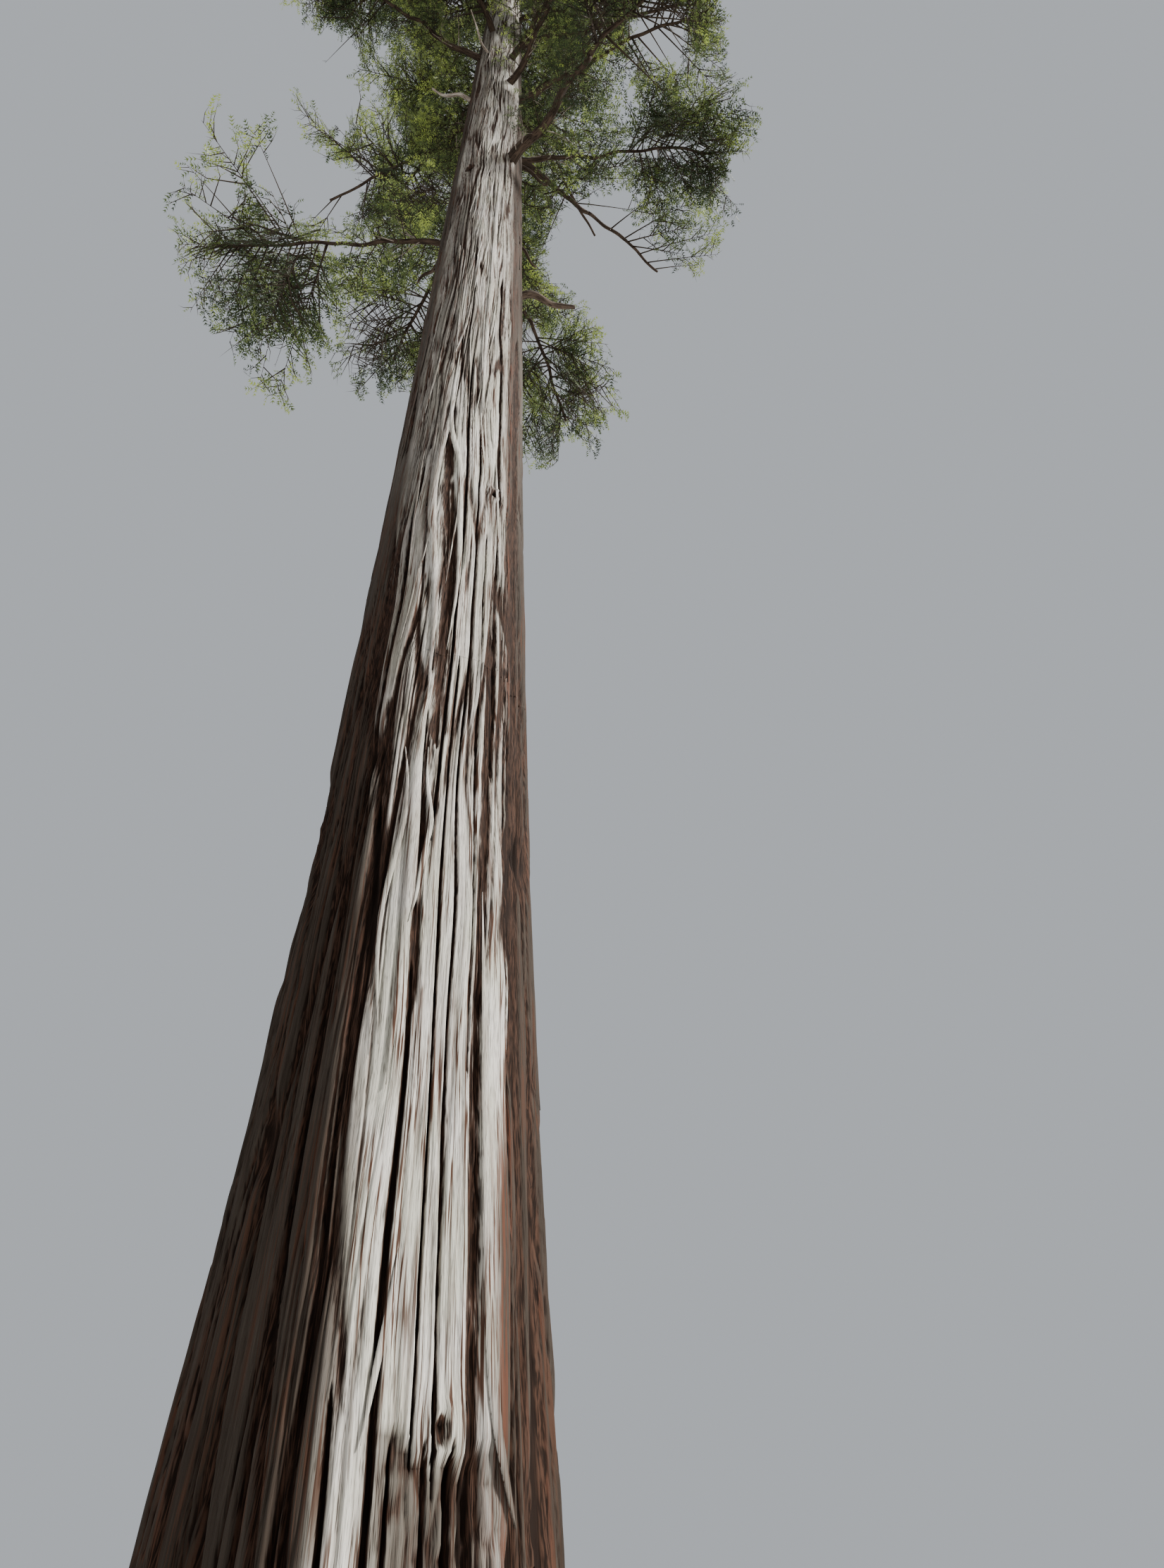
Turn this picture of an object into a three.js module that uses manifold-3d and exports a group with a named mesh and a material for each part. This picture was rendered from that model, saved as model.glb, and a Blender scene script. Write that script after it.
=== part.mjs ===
// A very tall redwood, scaled evenly to 40 m: its trunk, boughs, dead stubs and masses of foliage.
// Millimetres, +Z up. The origin is the centre of the flat cut at ground level. The trunk leans to +X.
// A heading is an angle in degrees seen from above, clockwise from +Y, so 90 points along +X.
import * as THREE from "three";
import { mergeVertices } from "three/addons/utils/BufferGeometryUtils.js";
import Module from "manifold-3d";

const wasm = await Module();
wasm.setup();

// Trunk
const HEIGHT = 40000;
const LEAN = 3.1;
const STEM_RADIUS = 595;
const BUTTRESS = { radius: 270, fade: 3140 };
const FOOT = { radius: 150, fade: 450 };
const FLUTES = { count: 7, foot: 0.07, fade: 2600, shaft: 0.012 };
const TRUNK_SIDES = 28;
const TRUNK_ROWS = 20;
const ROW_CROWDING = 1.6;

// Sides and rows of the limbs' and the stems' meshes
const LIMB_SIDES = 6;
const BOUGH_ROWS = 6;
const STUB_ROWS = 4;
const STEM_SIDES = 4;
const STEM_ROWS = 3;

// Crown
const CROWN_FOOT = 14000;
const CROWN_REACH = 3350;
const CROWN_TIP_REACH = 150;
const GOLDEN_ANGLE = 137.5;

// Gap between solids that touch, and the room that foliage keeps from limbs and from its neighbours
const GAP = 0.3;
const CELL_MARGIN = 4;
const LIMB_MARGIN = 12;

// Limbs: roots begin inside the trunk, at a share of its radius
const ROOT_DEPTH = 0.6;
const BOUGH_TIP_SHARE = 0.55;
const COLLAR = { share: 0.5, fade: 7 };
const STUB_TIP_SHARE = 0.4;

// Masses: each space is an egg shape, with its half sizes outwards, sideways and upwards
const ON_BOUGH = { least: 0.37, share: 0.62, side: 1.45, ahead: 0.55, sag: 0.05 };
const ON_TRUNK = { out: 0.52, side: 0.8, up: 0.5, extraUp: 200, ahead: 0.54, stem: 0.16, leastStem: 16 };
const STEM = { reach: 0.5, sag: 0.12, bend: 0.45, tipRadius: 18, last: 0.99 };

// Foliage: a frond is a three-sided twig that spreads into a toothed blade
const TWIG = { share: 0.6, tip: 0.6, sunk: 0.3 };
const FRONDS = 10;
const FROND_SPAN = { onBough: [0.12, 0.95], onTrunk: [0.38, 0.95] };
const FROND_REACH = { most: 1.3, least: 0.35, shrink: 0.9 };
const FROND_SWEEP = { nearest: 84, furthest: 28, jitter: 12 };
const FROND_LIFT = { swing: 56, step: 2.4, jitter: [-12, 8] };
const FROND_TILT = 0.9;

// A blade's tooth and notch are shares of the frond's length and of the blade's half width.
const BLADE = { from: 0.26, middle: 0.6, halfWidth: 0.42, halfThickness: 0.016 };
const TOOTH = [0.68, 1];
const NOTCH = [0.6, 0.46];

// Boughs that show: height on the trunk, heading, length of the bare limb, rise in degrees, and radius.
const SEEN_BOUGHS = [
  { name: "left_low", height: 15000, heading: 277, length: 1150, rise: 2, radius: 34 },
  { name: "right_low", height: 17300, heading: 142, length: 1450, rise: 24, radius: 66 },
  { name: "right_thin", height: 18300, heading: 100, length: 1350, rise: 8, radius: 36 },
  { name: "left_mid", height: 20300, heading: 300, length: 950, rise: -8, radius: 42 },
  { name: "right_mid", height: 20850, heading: 120, length: 1500, rise: 14, radius: 56 },
  { name: "front_mid", height: 20950, heading: 155, length: 1350, rise: 18, radius: 52 },
  { name: "front_high", height: 22600, heading: 150, length: 1250, rise: 24, radius: 50 },
  { name: "left_high", height: 23250, heading: 251, length: 1500, rise: 6, radius: 48 },
  { name: "right_high", height: 24700, heading: 109, length: 1900, rise: 12, radius: 58 },
];

// Boughs of the lower crown on the side that doesn't show
const HIDDEN_BOUGHS = [
  { name: "back_low", height: 16500, heading: 28, length: 1300, rise: 6, radius: 44 },
  { name: "back_left", height: 17900, heading: 338, length: 1250, rise: 2, radius: 46 },
  { name: "back_right", height: 19200, heading: 62, length: 1350, rise: 8, radius: 50 },
  { name: "back_mid", height: 20700, heading: 12, length: 1300, rise: 10, radius: 50 },
  { name: "back_high", height: 22700, heading: 42, length: 1350, rise: 12, radius: 52 },
  { name: "left_back", height: 22400, heading: 322, length: 1250, rise: 8, radius: 48 },
];

// Dead stubs: bend is how far the tip turns up, as a share of the length
const STUBS = [
  { name: "stub_right", height: 13700, heading: 87, length: 620, rise: 6, radius: 56, bend: -0.08 },
  { name: "stub_small", height: 15750, heading: 66, length: 330, rise: -25, radius: 28, bend: -0.25 },
  { name: "stub_droop", height: 18450, heading: 76, length: 430, rise: 5, radius: 38, bend: -0.4 },
  { name: "stub_silver", height: 20750, heading: 262, length: 580, rise: -4, radius: 40, bend: 0.3 },
  { name: "stub_hanging", height: 15450, heading: 300, length: 520, rise: -35, radius: 34, bend: -0.5 },
  { name: "snag_silver", height: 22800, heading: 214, length: 620, rise: 20, radius: 22, bend: 0.35 },
];

// Masses with stems that leave the trunk itself, from this height up to the tip
const UPPER_MASSES = { from: 24400, count: 23, heading: 200, step: 0.29, leastStep: 130 };

const BARK = new THREE.MeshStandardMaterial({ color: 0x6b5548, roughness: 0.95, metalness: 0 });
const LIMB = new THREE.MeshStandardMaterial({ color: 0x4a3528, roughness: 0.9, metalness: 0 });
const SILVER = new THREE.MeshStandardMaterial({ color: 0x9a948c, roughness: 0.85, metalness: 0 });
const NEEDLES = new THREE.MeshStandardMaterial({ color: 0x3f6326, roughness: 0.7, metalness: 0 });

const degrees = THREE.MathUtils.degToRad;
const vector = (x, y, z) => new THREE.Vector3(x, y, z);
const UP = vector(0, 0, 1);

// Repeatable chance: each number is the last one times 48271, modulo 2147483647.
class Chance {
  constructor(seed) {
    this.state = seed;
  }
  next() {
    this.state = (this.state * 48271) % 2147483647;
    return this.state / 2147483647;
  }
  between(low, high) {
    return low + (high - low) * this.next();
  }
}

function headingVector(heading) {
  return vector(Math.sin(degrees(heading)), Math.cos(degrees(heading)), 0);
}

// The trunk's centre at a height.
function trunkCentre(z) {
  return vector(Math.tan(degrees(LEAN)) * z, 0, z);
}

// The trunk's mean radius: a long taper that quickens in the crown, and a flare towards the ground.
function trunkRadius(z) {
  const share = z / HEIGHT;
  const shaft = STEM_RADIUS * (1 - 0.62 * share - 0.36 * share ** 5);
  const buttress = BUTTRESS.radius * Math.exp(-z / BUTTRESS.fade);
  return shaft + buttress + FOOT.radius * Math.exp(-z / FOOT.fade);
}

// Broad flutes run up from the root flare and die away on the shaft.
function fluting(angle, z) {
  const depth = FLUTES.shaft + FLUTES.foot * Math.exp(-z / FLUTES.fade);
  const wander = 0.5 * Math.sin(2 * angle + 1.3);
  return 1 + depth * Math.cos(FLUTES.count * angle + wander + z / 9000);
}

// How far the crown reaches from the trunk's centre at a height.
function crownReach(z) {
  const share = Math.max(0, (z - CROWN_FOOT) / (HEIGHT - CROWN_FOOT));
  return CROWN_REACH * (1 - share ** 3) + CROWN_TIP_REACH;
}

// A closed geometry as a solid, with its shared vertices merged.
function solidOf(geometry) {
  geometry.deleteAttribute("normal");
  geometry.deleteAttribute("uv");
  const merged = mergeVertices(geometry, 1e-3);
  return new wasm.Manifold(
    new wasm.Mesh({
      numProp: 3,
      vertProperties: merged.getAttribute("position").array,
      triVerts: new Uint32Array(merged.index.array),
    }),
  );
}

function geometryOf(solid) {
  const mesh = solid.getMesh();
  const geometry = new THREE.BufferGeometry();
  geometry.setAttribute("position", new THREE.BufferAttribute(mesh.vertProperties, 3));
  geometry.setIndex(new THREE.BufferAttribute(mesh.triVerts, 1));
  return geometry;
}

// Moves every vertex of a unit cylinder that stands on z = 0, by a function of (x, y, share of the height).
function shapedCylinder(sides, rows, place) {
  const geometry = new THREE.CylinderGeometry(1, 1, 1, sides, rows);
  geometry.rotateX(Math.PI / 2);
  const position = geometry.getAttribute("position");
  for (let i = 0; i < position.count; i++) {
    const p = place(position.getX(i), position.getY(i), position.getZ(i) + 0.5);
    position.setXYZ(i, p.x, p.y, p.z);
  }
  return geometry;
}

// The trunk, grown outwards by a margin.
function trunkSolid(margin) {
  return solidOf(
    shapedCylinder(TRUNK_SIDES, TRUNK_ROWS, (x, y, share) => {
      const z = HEIGHT * share ** ROW_CROWDING;
      const radius = trunkRadius(z) * fluting(Math.atan2(y, x), z) + margin;
      return trunkCentre(z).add(vector(x * radius, y * radius, 0));
    }),
  );
}

// A limb along a curve: radiusAt gives its radius at a share of the length.
function limbSolid(curve, radiusAt, sides, segments) {
  const frames = curve.computeFrenetFrames(segments);
  return solidOf(
    shapedCylinder(sides, segments, (x, y, share) => {
      const row = Math.round(share * segments);
      const radius = radiusAt(share);
      return curve
        .getPointAt(share)
        .addScaledVector(frames.normals[row], x * radius)
        .addScaledVector(frames.binormals[row], y * radius);
    }),
  );
}

// A frond's twig runs from its root to where the blade begins, and the blade has a tooth on each side.
function frondPoints(root, along, across, length, radius) {
  const flat = new THREE.Vector3().crossVectors(along, across);
  const at = (share, side, lift) =>
    root
      .clone()
      .addScaledVector(along, share * length)
      .addScaledVector(across, side)
      .addScaledVector(flat, lift);
  const ring = (share, girth) => [
    at(share, -girth, -girth / 2),
    at(share, 0, girth),
    at(share, girth, -girth / 2),
  ];
  const half = BLADE.halfWidth * length;
  const thick = BLADE.halfThickness * length;
  const rim = (side) => [TOOTH, NOTCH].map(([share, width]) => at(share, side * half * width, 0));
  return {
    foot: ring((-radius * TWIG.sunk) / length, radius),
    neck: ring(BLADE.from, radius * TWIG.tip),
    rim: [...rim(-1), at(1, 0, 0), ...rim(1).reverse()],
    crest: at(BLADE.middle, 0, thick),
    keel: at(BLADE.middle, 0, -thick),
  };
}

function frondSolid({ foot, neck, rim, crest, keel }) {
  const [right, top, left] = [3, 4, 5];
  const firstRim = 6;
  const lastRim = firstRim + rim.length - 1;
  const crestIndex = lastRim + 1;
  const keelIndex = lastRim + 2;
  const faces = [0, 1, 2];
  for (let side = 0; side < 3; side++) {
    const next = (side + 1) % 3;
    faces.push(side, side + 3, next + 3, side, next + 3, next);
  }
  const over = [top, right, ...rim.map((_, i) => firstRim + i), left, top];
  for (let i = 0; i < over.length - 1; i++) {
    faces.push(over[i], over[i + 1], crestIndex);
  }
  const under = [left, ...rim.map((_, i) => lastRim - i), right, left];
  for (let i = 0; i < under.length - 1; i++) {
    faces.push(under[i], under[i + 1], keelIndex);
  }
  const geometry = new THREE.BufferGeometry().setFromPoints([...foot, ...neck, ...rim, crest, keel]);
  geometry.setIndex(faces);
  return solidOf(geometry);
}

// A live bough leaves the trunk level, then rises more and more towards its tip.
function boughCurve({ height, heading, length, rise }) {
  const out = headingVector(heading);
  const root = trunkCentre(height).addScaledVector(out, trunkRadius(height) * ROOT_DEPTH);
  const run = length + trunkRadius(height) * (1 - ROOT_DEPTH);
  const climb = run * Math.tan(degrees(rise));
  return new THREE.CubicBezierCurve3(
    root,
    root.clone().addScaledVector(out, run * 0.35).addScaledVector(UP, climb * 0.15),
    root.clone().addScaledVector(out, run * 0.7).addScaledVector(UP, climb * 0.45),
    root.clone().addScaledVector(out, run).addScaledVector(UP, climb),
  );
}

// A bough tapers evenly, with a collar that swells where it leaves the trunk.
function boughRadius(bough) {
  return (share) => {
    const taper = 1 - (1 - BOUGH_TIP_SHARE) * share;
    return bough.radius * (taper + COLLAR.share * Math.exp(-COLLAR.fade * share));
  };
}

// A dead stub droops or turns up towards its broken end.
function stubCurve({ height, heading, length, rise, bend }) {
  const out = headingVector(heading);
  const root = trunkCentre(height).addScaledVector(out, trunkRadius(height) * ROOT_DEPTH);
  const run = length + trunkRadius(height) * (1 - ROOT_DEPTH);
  const along = out.clone().addScaledVector(UP, Math.tan(degrees(rise))).normalize();
  return new THREE.QuadraticBezierCurve3(
    root,
    root.clone().addScaledVector(along, run * 0.6),
    root.clone().addScaledVector(along, run).addScaledVector(UP, bend * length),
  );
}

// The space of a mass that grows from a bough's tip: an egg shape about a point beyond the tip.
function massOnBough(bough, seed) {
  const curve = boughCurve(bough);
  const tip = curve.getPointAt(1);
  const out = headingVector(bough.heading);
  const reach = crownReach(bough.height);
  const fromAxis = tip.clone().sub(trunkCentre(tip.z)).dot(out);
  const depth = Math.max(ON_BOUGH.least * reach, ON_BOUGH.share * (reach - fromAxis));
  const ahead = out.clone().multiplyScalar(ON_BOUGH.ahead).addScaledVector(UP, -ON_BOUGH.sag);
  return {
    name: "foliage_" + bough.name,
    out,
    centre: tip.clone().addScaledVector(ahead, depth),
    semi: { out: depth, side: depth * ON_BOUGH.side, up: depth },
    start: tip,
    direction: curve.getTangentAt(1),
    radius: bough.radius * BOUGH_TIP_SHARE,
    seed,
  };
}

// The masses of the upper crown wind up the trunk by the golden angle, closer together as they get smaller.
function upperMasses() {
  const chance = new Chance(4021);
  const masses = [];
  let height = UPPER_MASSES.from;
  for (let i = 0; i < UPPER_MASSES.count; i++) {
    const reach = crownReach(height) * chance.between(0.9, 1.08);
    const heading = (UPPER_MASSES.heading + GOLDEN_ANGLE * i + chance.between(-12, 12)) % 360;
    const out = headingVector(heading);
    const rise = 0.1 + 0.5 * (height / HEIGHT) ** 6;
    const ahead = out.clone().multiplyScalar(ON_TRUNK.ahead).addScaledVector(UP, rise);
    masses.push({
      name: "foliage_upper_" + String(i + 1).padStart(2, "0"),
      out,
      centre: trunkCentre(height).addScaledVector(ahead, reach),
      semi: {
        out: reach * ON_TRUNK.out,
        side: reach * ON_TRUNK.side,
        up: reach * ON_TRUNK.up + ON_TRUNK.extraUp,
      },
      start: trunkCentre(height).addScaledVector(out, trunkRadius(height) * ROOT_DEPTH),
      direction: out.clone().addScaledVector(UP, rise * 0.6).normalize(),
      radius: Math.max(ON_TRUNK.leastStem, ON_TRUNK.stem * trunkRadius(height)),
      fromTrunk: true,
      seed: 700 + 31 * i,
    });
    height += reach * UPPER_MASSES.step + UPPER_MASSES.leastStep;
  }
  return masses;
}

// The mass's main stem: from its start, out through the middle of its space, with a tip that droops.
function stemCurve(mass) {
  const far = mass.centre
    .clone()
    .addScaledVector(mass.out, mass.semi.out * STEM.reach)
    .addScaledVector(UP, -mass.semi.up * STEM.sag);
  const start = mass.start.clone().addScaledVector(mass.direction, mass.fromTrunk ? 0 : GAP);
  const bend = start.distanceTo(far) * STEM.bend;
  return new THREE.QuadraticBezierCurve3(start, start.clone().addScaledVector(mass.direction, bend), far);
}

function stemRadius(mass) {
  return (share) => mass.radius + (STEM.tipRadius - mass.radius) * share;
}

// The mass's stem, grown outwards by a margin.
function stemSolid(mass, margin) {
  return limbSolid(stemCurve(mass), (share) => stemRadius(mass)(share) + margin, STEM_SIDES, STEM_ROWS);
}

// Whether every point lies in the mass's egg shape and nearer to it than to any other mass.
function inSpace(mass, masses, points) {
  const side = new THREE.Vector3().crossVectors(UP, mass.out);
  return points.every((p) => {
    const d = p.clone().sub(mass.centre);
    const egg =
      (d.dot(mass.out) / mass.semi.out) ** 2 +
      (d.dot(side) / mass.semi.side) ** 2 +
      (d.z / mass.semi.up) ** 2;
    if (egg > 1) return false;
    return masses.every((other) => {
      if (other === mass) return true;
      const between = other.centre.clone().sub(mass.centre);
      const share = 0.5 + (mass.semi.up ** 2 - other.semi.up ** 2) / (2 * between.lengthSq());
      return d.dot(between) / between.length() < share * between.length() - CELL_MARGIN;
    });
  });
}

// The way of a frond: swept to its side of the mass by less and less towards the stem's tip, and lifted
// or lowered by turns.
function frondDirection(mass, share, turn, chance) {
  const side = new THREE.Vector3().crossVectors(UP, mass.out);
  const hand = turn % 2 ? 1 : -1;
  const swept = FROND_SWEEP.nearest + (FROND_SWEEP.furthest - FROND_SWEEP.nearest) * share;
  const sweep = degrees(swept + chance.between(-FROND_SWEEP.jitter, FROND_SWEEP.jitter));
  const swung = FROND_LIFT.swing * Math.sin(FROND_LIFT.step * turn);
  const lift = degrees(swung + chance.between(...FROND_LIFT.jitter));
  return mass.out
    .clone()
    .multiplyScalar(Math.cos(sweep))
    .addScaledVector(side, hand * Math.sin(sweep))
    .multiplyScalar(Math.cos(lift))
    .addScaledVector(UP, Math.sin(lift));
}

// Fronds leave the stem to left and right by turns, and one ends it. Each is as long as its space allows,
// and one that would still leave the space or touch a limb is skipped.
function massSolid(mass, masses, obstacles) {
  const chance = new Chance(mass.seed);
  const stem = stemCurve(mass);
  const fronds = [];
  const [nearest, furthest] = mass.fromTrunk ? FROND_SPAN.onTrunk : FROND_SPAN.onBough;
  for (let i = 0; i < FRONDS; i++) {
    const last = i === FRONDS - 1;
    const share = last ? STEM.last : nearest + ((furthest - nearest) * i) / (FRONDS - 2);
    const root = stem.getPointAt(share);
    const turned = frondDirection(mass, share, i, chance);
    const along = last ? stem.getTangentAt(1) : turned;
    const tilt = chance.between(-FROND_TILT, FROND_TILT);
    const across = new THREE.Vector3().crossVectors(UP, along).normalize().applyAxisAngle(along, tilt);
    const radius = TWIG.share * stemRadius(mass)(share);
    for (let reach = FROND_REACH.most; reach > FROND_REACH.least; reach *= FROND_REACH.shrink) {
      const points = frondPoints(root, along, across, reach * mass.semi.side, radius);
      if (!inSpace(mass, masses, points.rim)) continue;
      const frond = frondSolid(points);
      if ([obstacles, ...fronds].every((solid) => solid.intersect(frond).isEmpty())) {
        fronds.push(frond);
        break;
      }
    }
  }
  const fused = wasm.Manifold.union([stemSolid(mass, 0), ...fronds]);
  return fused.decompose().reduce((most, body) => (body.volume() > most.volume() ? body : most));
}

function addMesh(group, name, solid, material) {
  const mesh = new THREE.Mesh(geometryOf(solid), material);
  mesh.name = name;
  group.add(mesh);
}

const tree = new THREE.Group();
const trunkRoom = trunkSolid(GAP);
addMesh(tree, "trunk", trunkSolid(0), BARK);

// Each limb is cut clear of the trunk, and its grown copy keeps foliage away from it.
const boughs = [...SEEN_BOUGHS, ...HIDDEN_BOUGHS];
const grownLimbs = [trunkSolid(LIMB_MARGIN)];
function addLimb(name, curve, radiusAt, segments, material) {
  const limb = limbSolid(curve, radiusAt, LIMB_SIDES, segments);
  addMesh(tree, name, limb.subtract(trunkRoom), material);
  grownLimbs.push(limbSolid(curve, (share) => radiusAt(share) + LIMB_MARGIN, LIMB_SIDES, segments));
}
for (const bough of boughs) {
  addLimb("bough_" + bough.name, boughCurve(bough), boughRadius(bough), BOUGH_ROWS, LIMB);
}
for (const stub of STUBS) {
  const radiusAt = (share) => stub.radius * (1 - (1 - STUB_TIP_SHARE) * share);
  addLimb(stub.name, stubCurve(stub), radiusAt, STUB_ROWS, SILVER);
}

const masses = [...boughs.map((bough, i) => massOnBough(bough, 101 + 17 * i)), ...upperMasses()];
const grownStems = masses.map((mass) => stemSolid(mass, LIMB_MARGIN));
masses.forEach((mass, i) => {
  const otherStems = grownStems.filter((_, k) => k !== i);
  const obstacles = wasm.Manifold.union([...grownLimbs, ...otherStems]);
  const solid = massSolid(mass, masses, obstacles);
  addMesh(tree, mass.name, solid.subtract(trunkRoom), NEEDLES);
});

export default tree;
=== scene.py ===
"""The looks of a very tall redwood, scaled evenly to 40 m: bark in relief, boughs, dead wood and needles.

Metres, +Z up. The origin is the centre of the flat cut at ground level, and the trunk leans to +X.
A heading is an angle in degrees seen from above, clockwise from +Y, so 90 points along +X.
An angle round the trunk is in radians, anticlockwise from +X, so the photograph's side is about -pi/2.
"""

import logging
import math
from dataclasses import dataclass, field
from enum import Enum
from functools import lru_cache
from typing import Callable, Sequence

import bpy
import numpy as np
from mathutils import Matrix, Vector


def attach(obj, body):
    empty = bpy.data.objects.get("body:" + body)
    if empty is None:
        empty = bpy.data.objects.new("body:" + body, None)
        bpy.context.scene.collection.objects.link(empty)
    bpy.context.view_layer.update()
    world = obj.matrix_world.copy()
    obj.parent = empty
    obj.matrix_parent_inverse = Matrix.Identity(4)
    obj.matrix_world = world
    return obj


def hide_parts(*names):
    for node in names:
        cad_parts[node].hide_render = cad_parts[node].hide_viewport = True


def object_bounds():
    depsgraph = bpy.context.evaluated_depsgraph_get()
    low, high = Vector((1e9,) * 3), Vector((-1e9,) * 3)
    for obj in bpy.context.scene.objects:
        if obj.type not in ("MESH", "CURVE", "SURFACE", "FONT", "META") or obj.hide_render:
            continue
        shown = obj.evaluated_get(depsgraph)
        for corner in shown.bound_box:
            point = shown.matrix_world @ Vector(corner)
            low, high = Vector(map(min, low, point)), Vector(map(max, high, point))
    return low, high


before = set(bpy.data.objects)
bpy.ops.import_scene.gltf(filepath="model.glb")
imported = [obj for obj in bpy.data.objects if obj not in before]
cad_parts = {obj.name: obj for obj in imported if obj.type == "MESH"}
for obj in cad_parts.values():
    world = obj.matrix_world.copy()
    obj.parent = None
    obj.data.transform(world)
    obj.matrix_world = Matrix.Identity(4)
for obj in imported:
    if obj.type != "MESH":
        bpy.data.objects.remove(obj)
CAD_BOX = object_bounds()
LOG = logging.getLogger("redwood")

Colour = tuple[float, float, float]
Taper = Callable[[np.ndarray], np.ndarray]
UP = np.array([0.0, 0.0, 1.0])
FRONT = math.radians(-88)
EYE = (0.0, -5.0, 0.73)
GOLDEN_ANGLE = 137.5
AROUND = 2 * math.pi
MOST_TRIANGLES = 190_000


def smooth(low: float, high: float, value: np.ndarray) -> np.ndarray:
    """A step from 0 at low to 1 at high, with level ends: 3t squared less 2t cubed."""
    t = np.clip((value - low) / (high - low), 0, 1)
    return t * t * (3 - 2 * t)


def unit(vectors: np.ndarray) -> np.ndarray:
    """Each vector along the last axis, divided by its length."""
    return vectors / np.maximum(np.linalg.norm(vectors, axis=-1, keepdims=True), 1e-12)


def heading_vector(heading: float) -> np.ndarray:
    """The level unit vector of a heading: its sine along X, its cosine along Y."""
    turned = math.radians(heading)
    return np.array([math.sin(turned), math.cos(turned), 0.0])


@lru_cache(maxsize=None)
def chance_table(columns: int, seed: int) -> np.ndarray:
    """256 rows of random numbers from -1 to 1."""
    return np.random.default_rng(seed).uniform(-1, 1, (256, columns))


def lattice_noise(x: np.ndarray, y: np.ndarray, columns: int, seed: int) -> np.ndarray:
    """Smooth chance from -1 to 1.

    Formula: random numbers stand at whole x and y, and between them they blend by smooth steps.

    Args:
        x: places across, in lattice steps. The pattern repeats after `columns` steps.
        y: places along, in lattice steps.
        columns: lattice steps round the piece.
        seed: which random numbers.

    Returns:
        An array in the shape of x and y.
    """
    table = chance_table(columns, seed)
    rows = len(table)
    left, low = np.floor(x).astype(int), np.floor(y).astype(int)
    across, along = smooth(0, 1, x - left), smooth(0, 1, y - low)
    corner = [[table[(low + j) % rows, (left + i) % columns] for i in (0, 1)] for j in (0, 1)]
    below = corner[0][0] * (1 - across) + corner[0][1] * across
    above = corner[1][0] * (1 - across) + corner[1][1] * across
    return below * (1 - along) + above * along


def cloud(points: np.ndarray, step: float, seed: int) -> np.ndarray:
    """Smooth chance in space.

    Formula: the sum of three noises, one for each pair of axes, over 1.8.

    Args:
        points: points in the last axis.
        step: the length of a lattice step.
        seed: which random numbers.

    Returns:
        Numbers from about -1 to 1, in the shape of the other axes.
    """
    x, y, z = (points[..., axis] / step + 200 for axis in range(3))
    pairs = ((x, y), (y, z), (z, x))
    return sum(lattice_noise(a, b, 64, seed + i) for i, (a, b) in enumerate(pairs)) / 1.8


class Chance:
    """Repeatable chance, as in the source: each number is the last one times 48271, modulo 2147483647."""

    def __init__(self, seed: int) -> None:
        """Starts the row of numbers at a seed."""
        self.state = seed

    def between(self, low: float, high: float) -> float:
        """The next number, spread evenly from low to high."""
        self.state = (self.state * 48271) % 2147483647
        return low + (high - low) * self.state / 2147483647


@dataclass
class Shape:
    """A mesh in the making: points, four- and three-cornered faces, and values at the points."""

    points: np.ndarray
    quads: np.ndarray = field(default_factory=lambda: np.empty((0, 4), int))
    triangles: np.ndarray = field(default_factory=lambda: np.empty((0, 3), int))
    values: dict[str, np.ndarray] = field(default_factory=dict)

    @staticmethod
    def joined(shapes: Sequence["Shape"]) -> "Shape":
        """One shape of several.

        Args:
            shapes: the shapes, which all hold the same values.

        Returns:
            Their points, faces and values, in their order.
        """
        starts = np.cumsum([0] + [len(s.points) for s in shapes[:-1]])
        return Shape(
            np.concatenate([s.points for s in shapes]),
            np.concatenate([s.quads + start for s, start in zip(shapes, starts)]),
            np.concatenate([s.triangles + start for s, start in zip(shapes, starts)]),
            {key: np.concatenate([s.values[key] for s in shapes]) for key in shapes[0].values},
        )

    def piece(self, name: str, material: bpy.types.Material, slot: str, nodes: Sequence[str]) -> None:
        """Makes the shape an object at the origin, which rides on the root and replaces CAD nodes.

        Its quads are shaded as one curved surface, and its triangles are flat.

        Args:
            name: the piece's name.
            material: its finish.
            slot: not used.
            nodes: the CAD nodes that the piece replaces.
        """
        mesh = bpy.data.meshes.new(name)
        corners = np.concatenate([self.quads.ravel(), self.triangles.ravel()]).astype(np.int32)
        sizes = np.repeat([4, 3], [len(self.quads), len(self.triangles)])
        mesh.vertices.add(len(self.points))
        mesh.vertices.foreach_set("co", np.ascontiguousarray(self.points, np.float32).ravel())
        mesh.loops.add(len(corners))
        mesh.loops.foreach_set("vertex_index", corners)
        mesh.polygons.add(len(sizes))
        mesh.polygons.foreach_set("loop_start", (np.cumsum(sizes) - sizes).astype(np.int32))
        mesh.polygons.foreach_set("use_smooth", sizes == 4)
        for key, value in self.values.items():
            kind, member = ("FLOAT_VECTOR", "vector") if value.ndim == 2 else ("FLOAT", "value")
            layer = mesh.attributes.new(key, kind, "POINT")
            layer.data.foreach_set(member, np.ascontiguousarray(value, np.float32).ravel())
        mesh.update(calc_edges=True)
        mesh.materials.append(material)
        piece = bpy.data.objects.new(name, mesh)
        bpy.context.scene.collection.objects.link(piece)
        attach(piece, "root")
        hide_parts(*nodes)
        LOG.info("%s: %d triangles", name, 2 * len(self.quads) + len(self.triangles))


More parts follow.
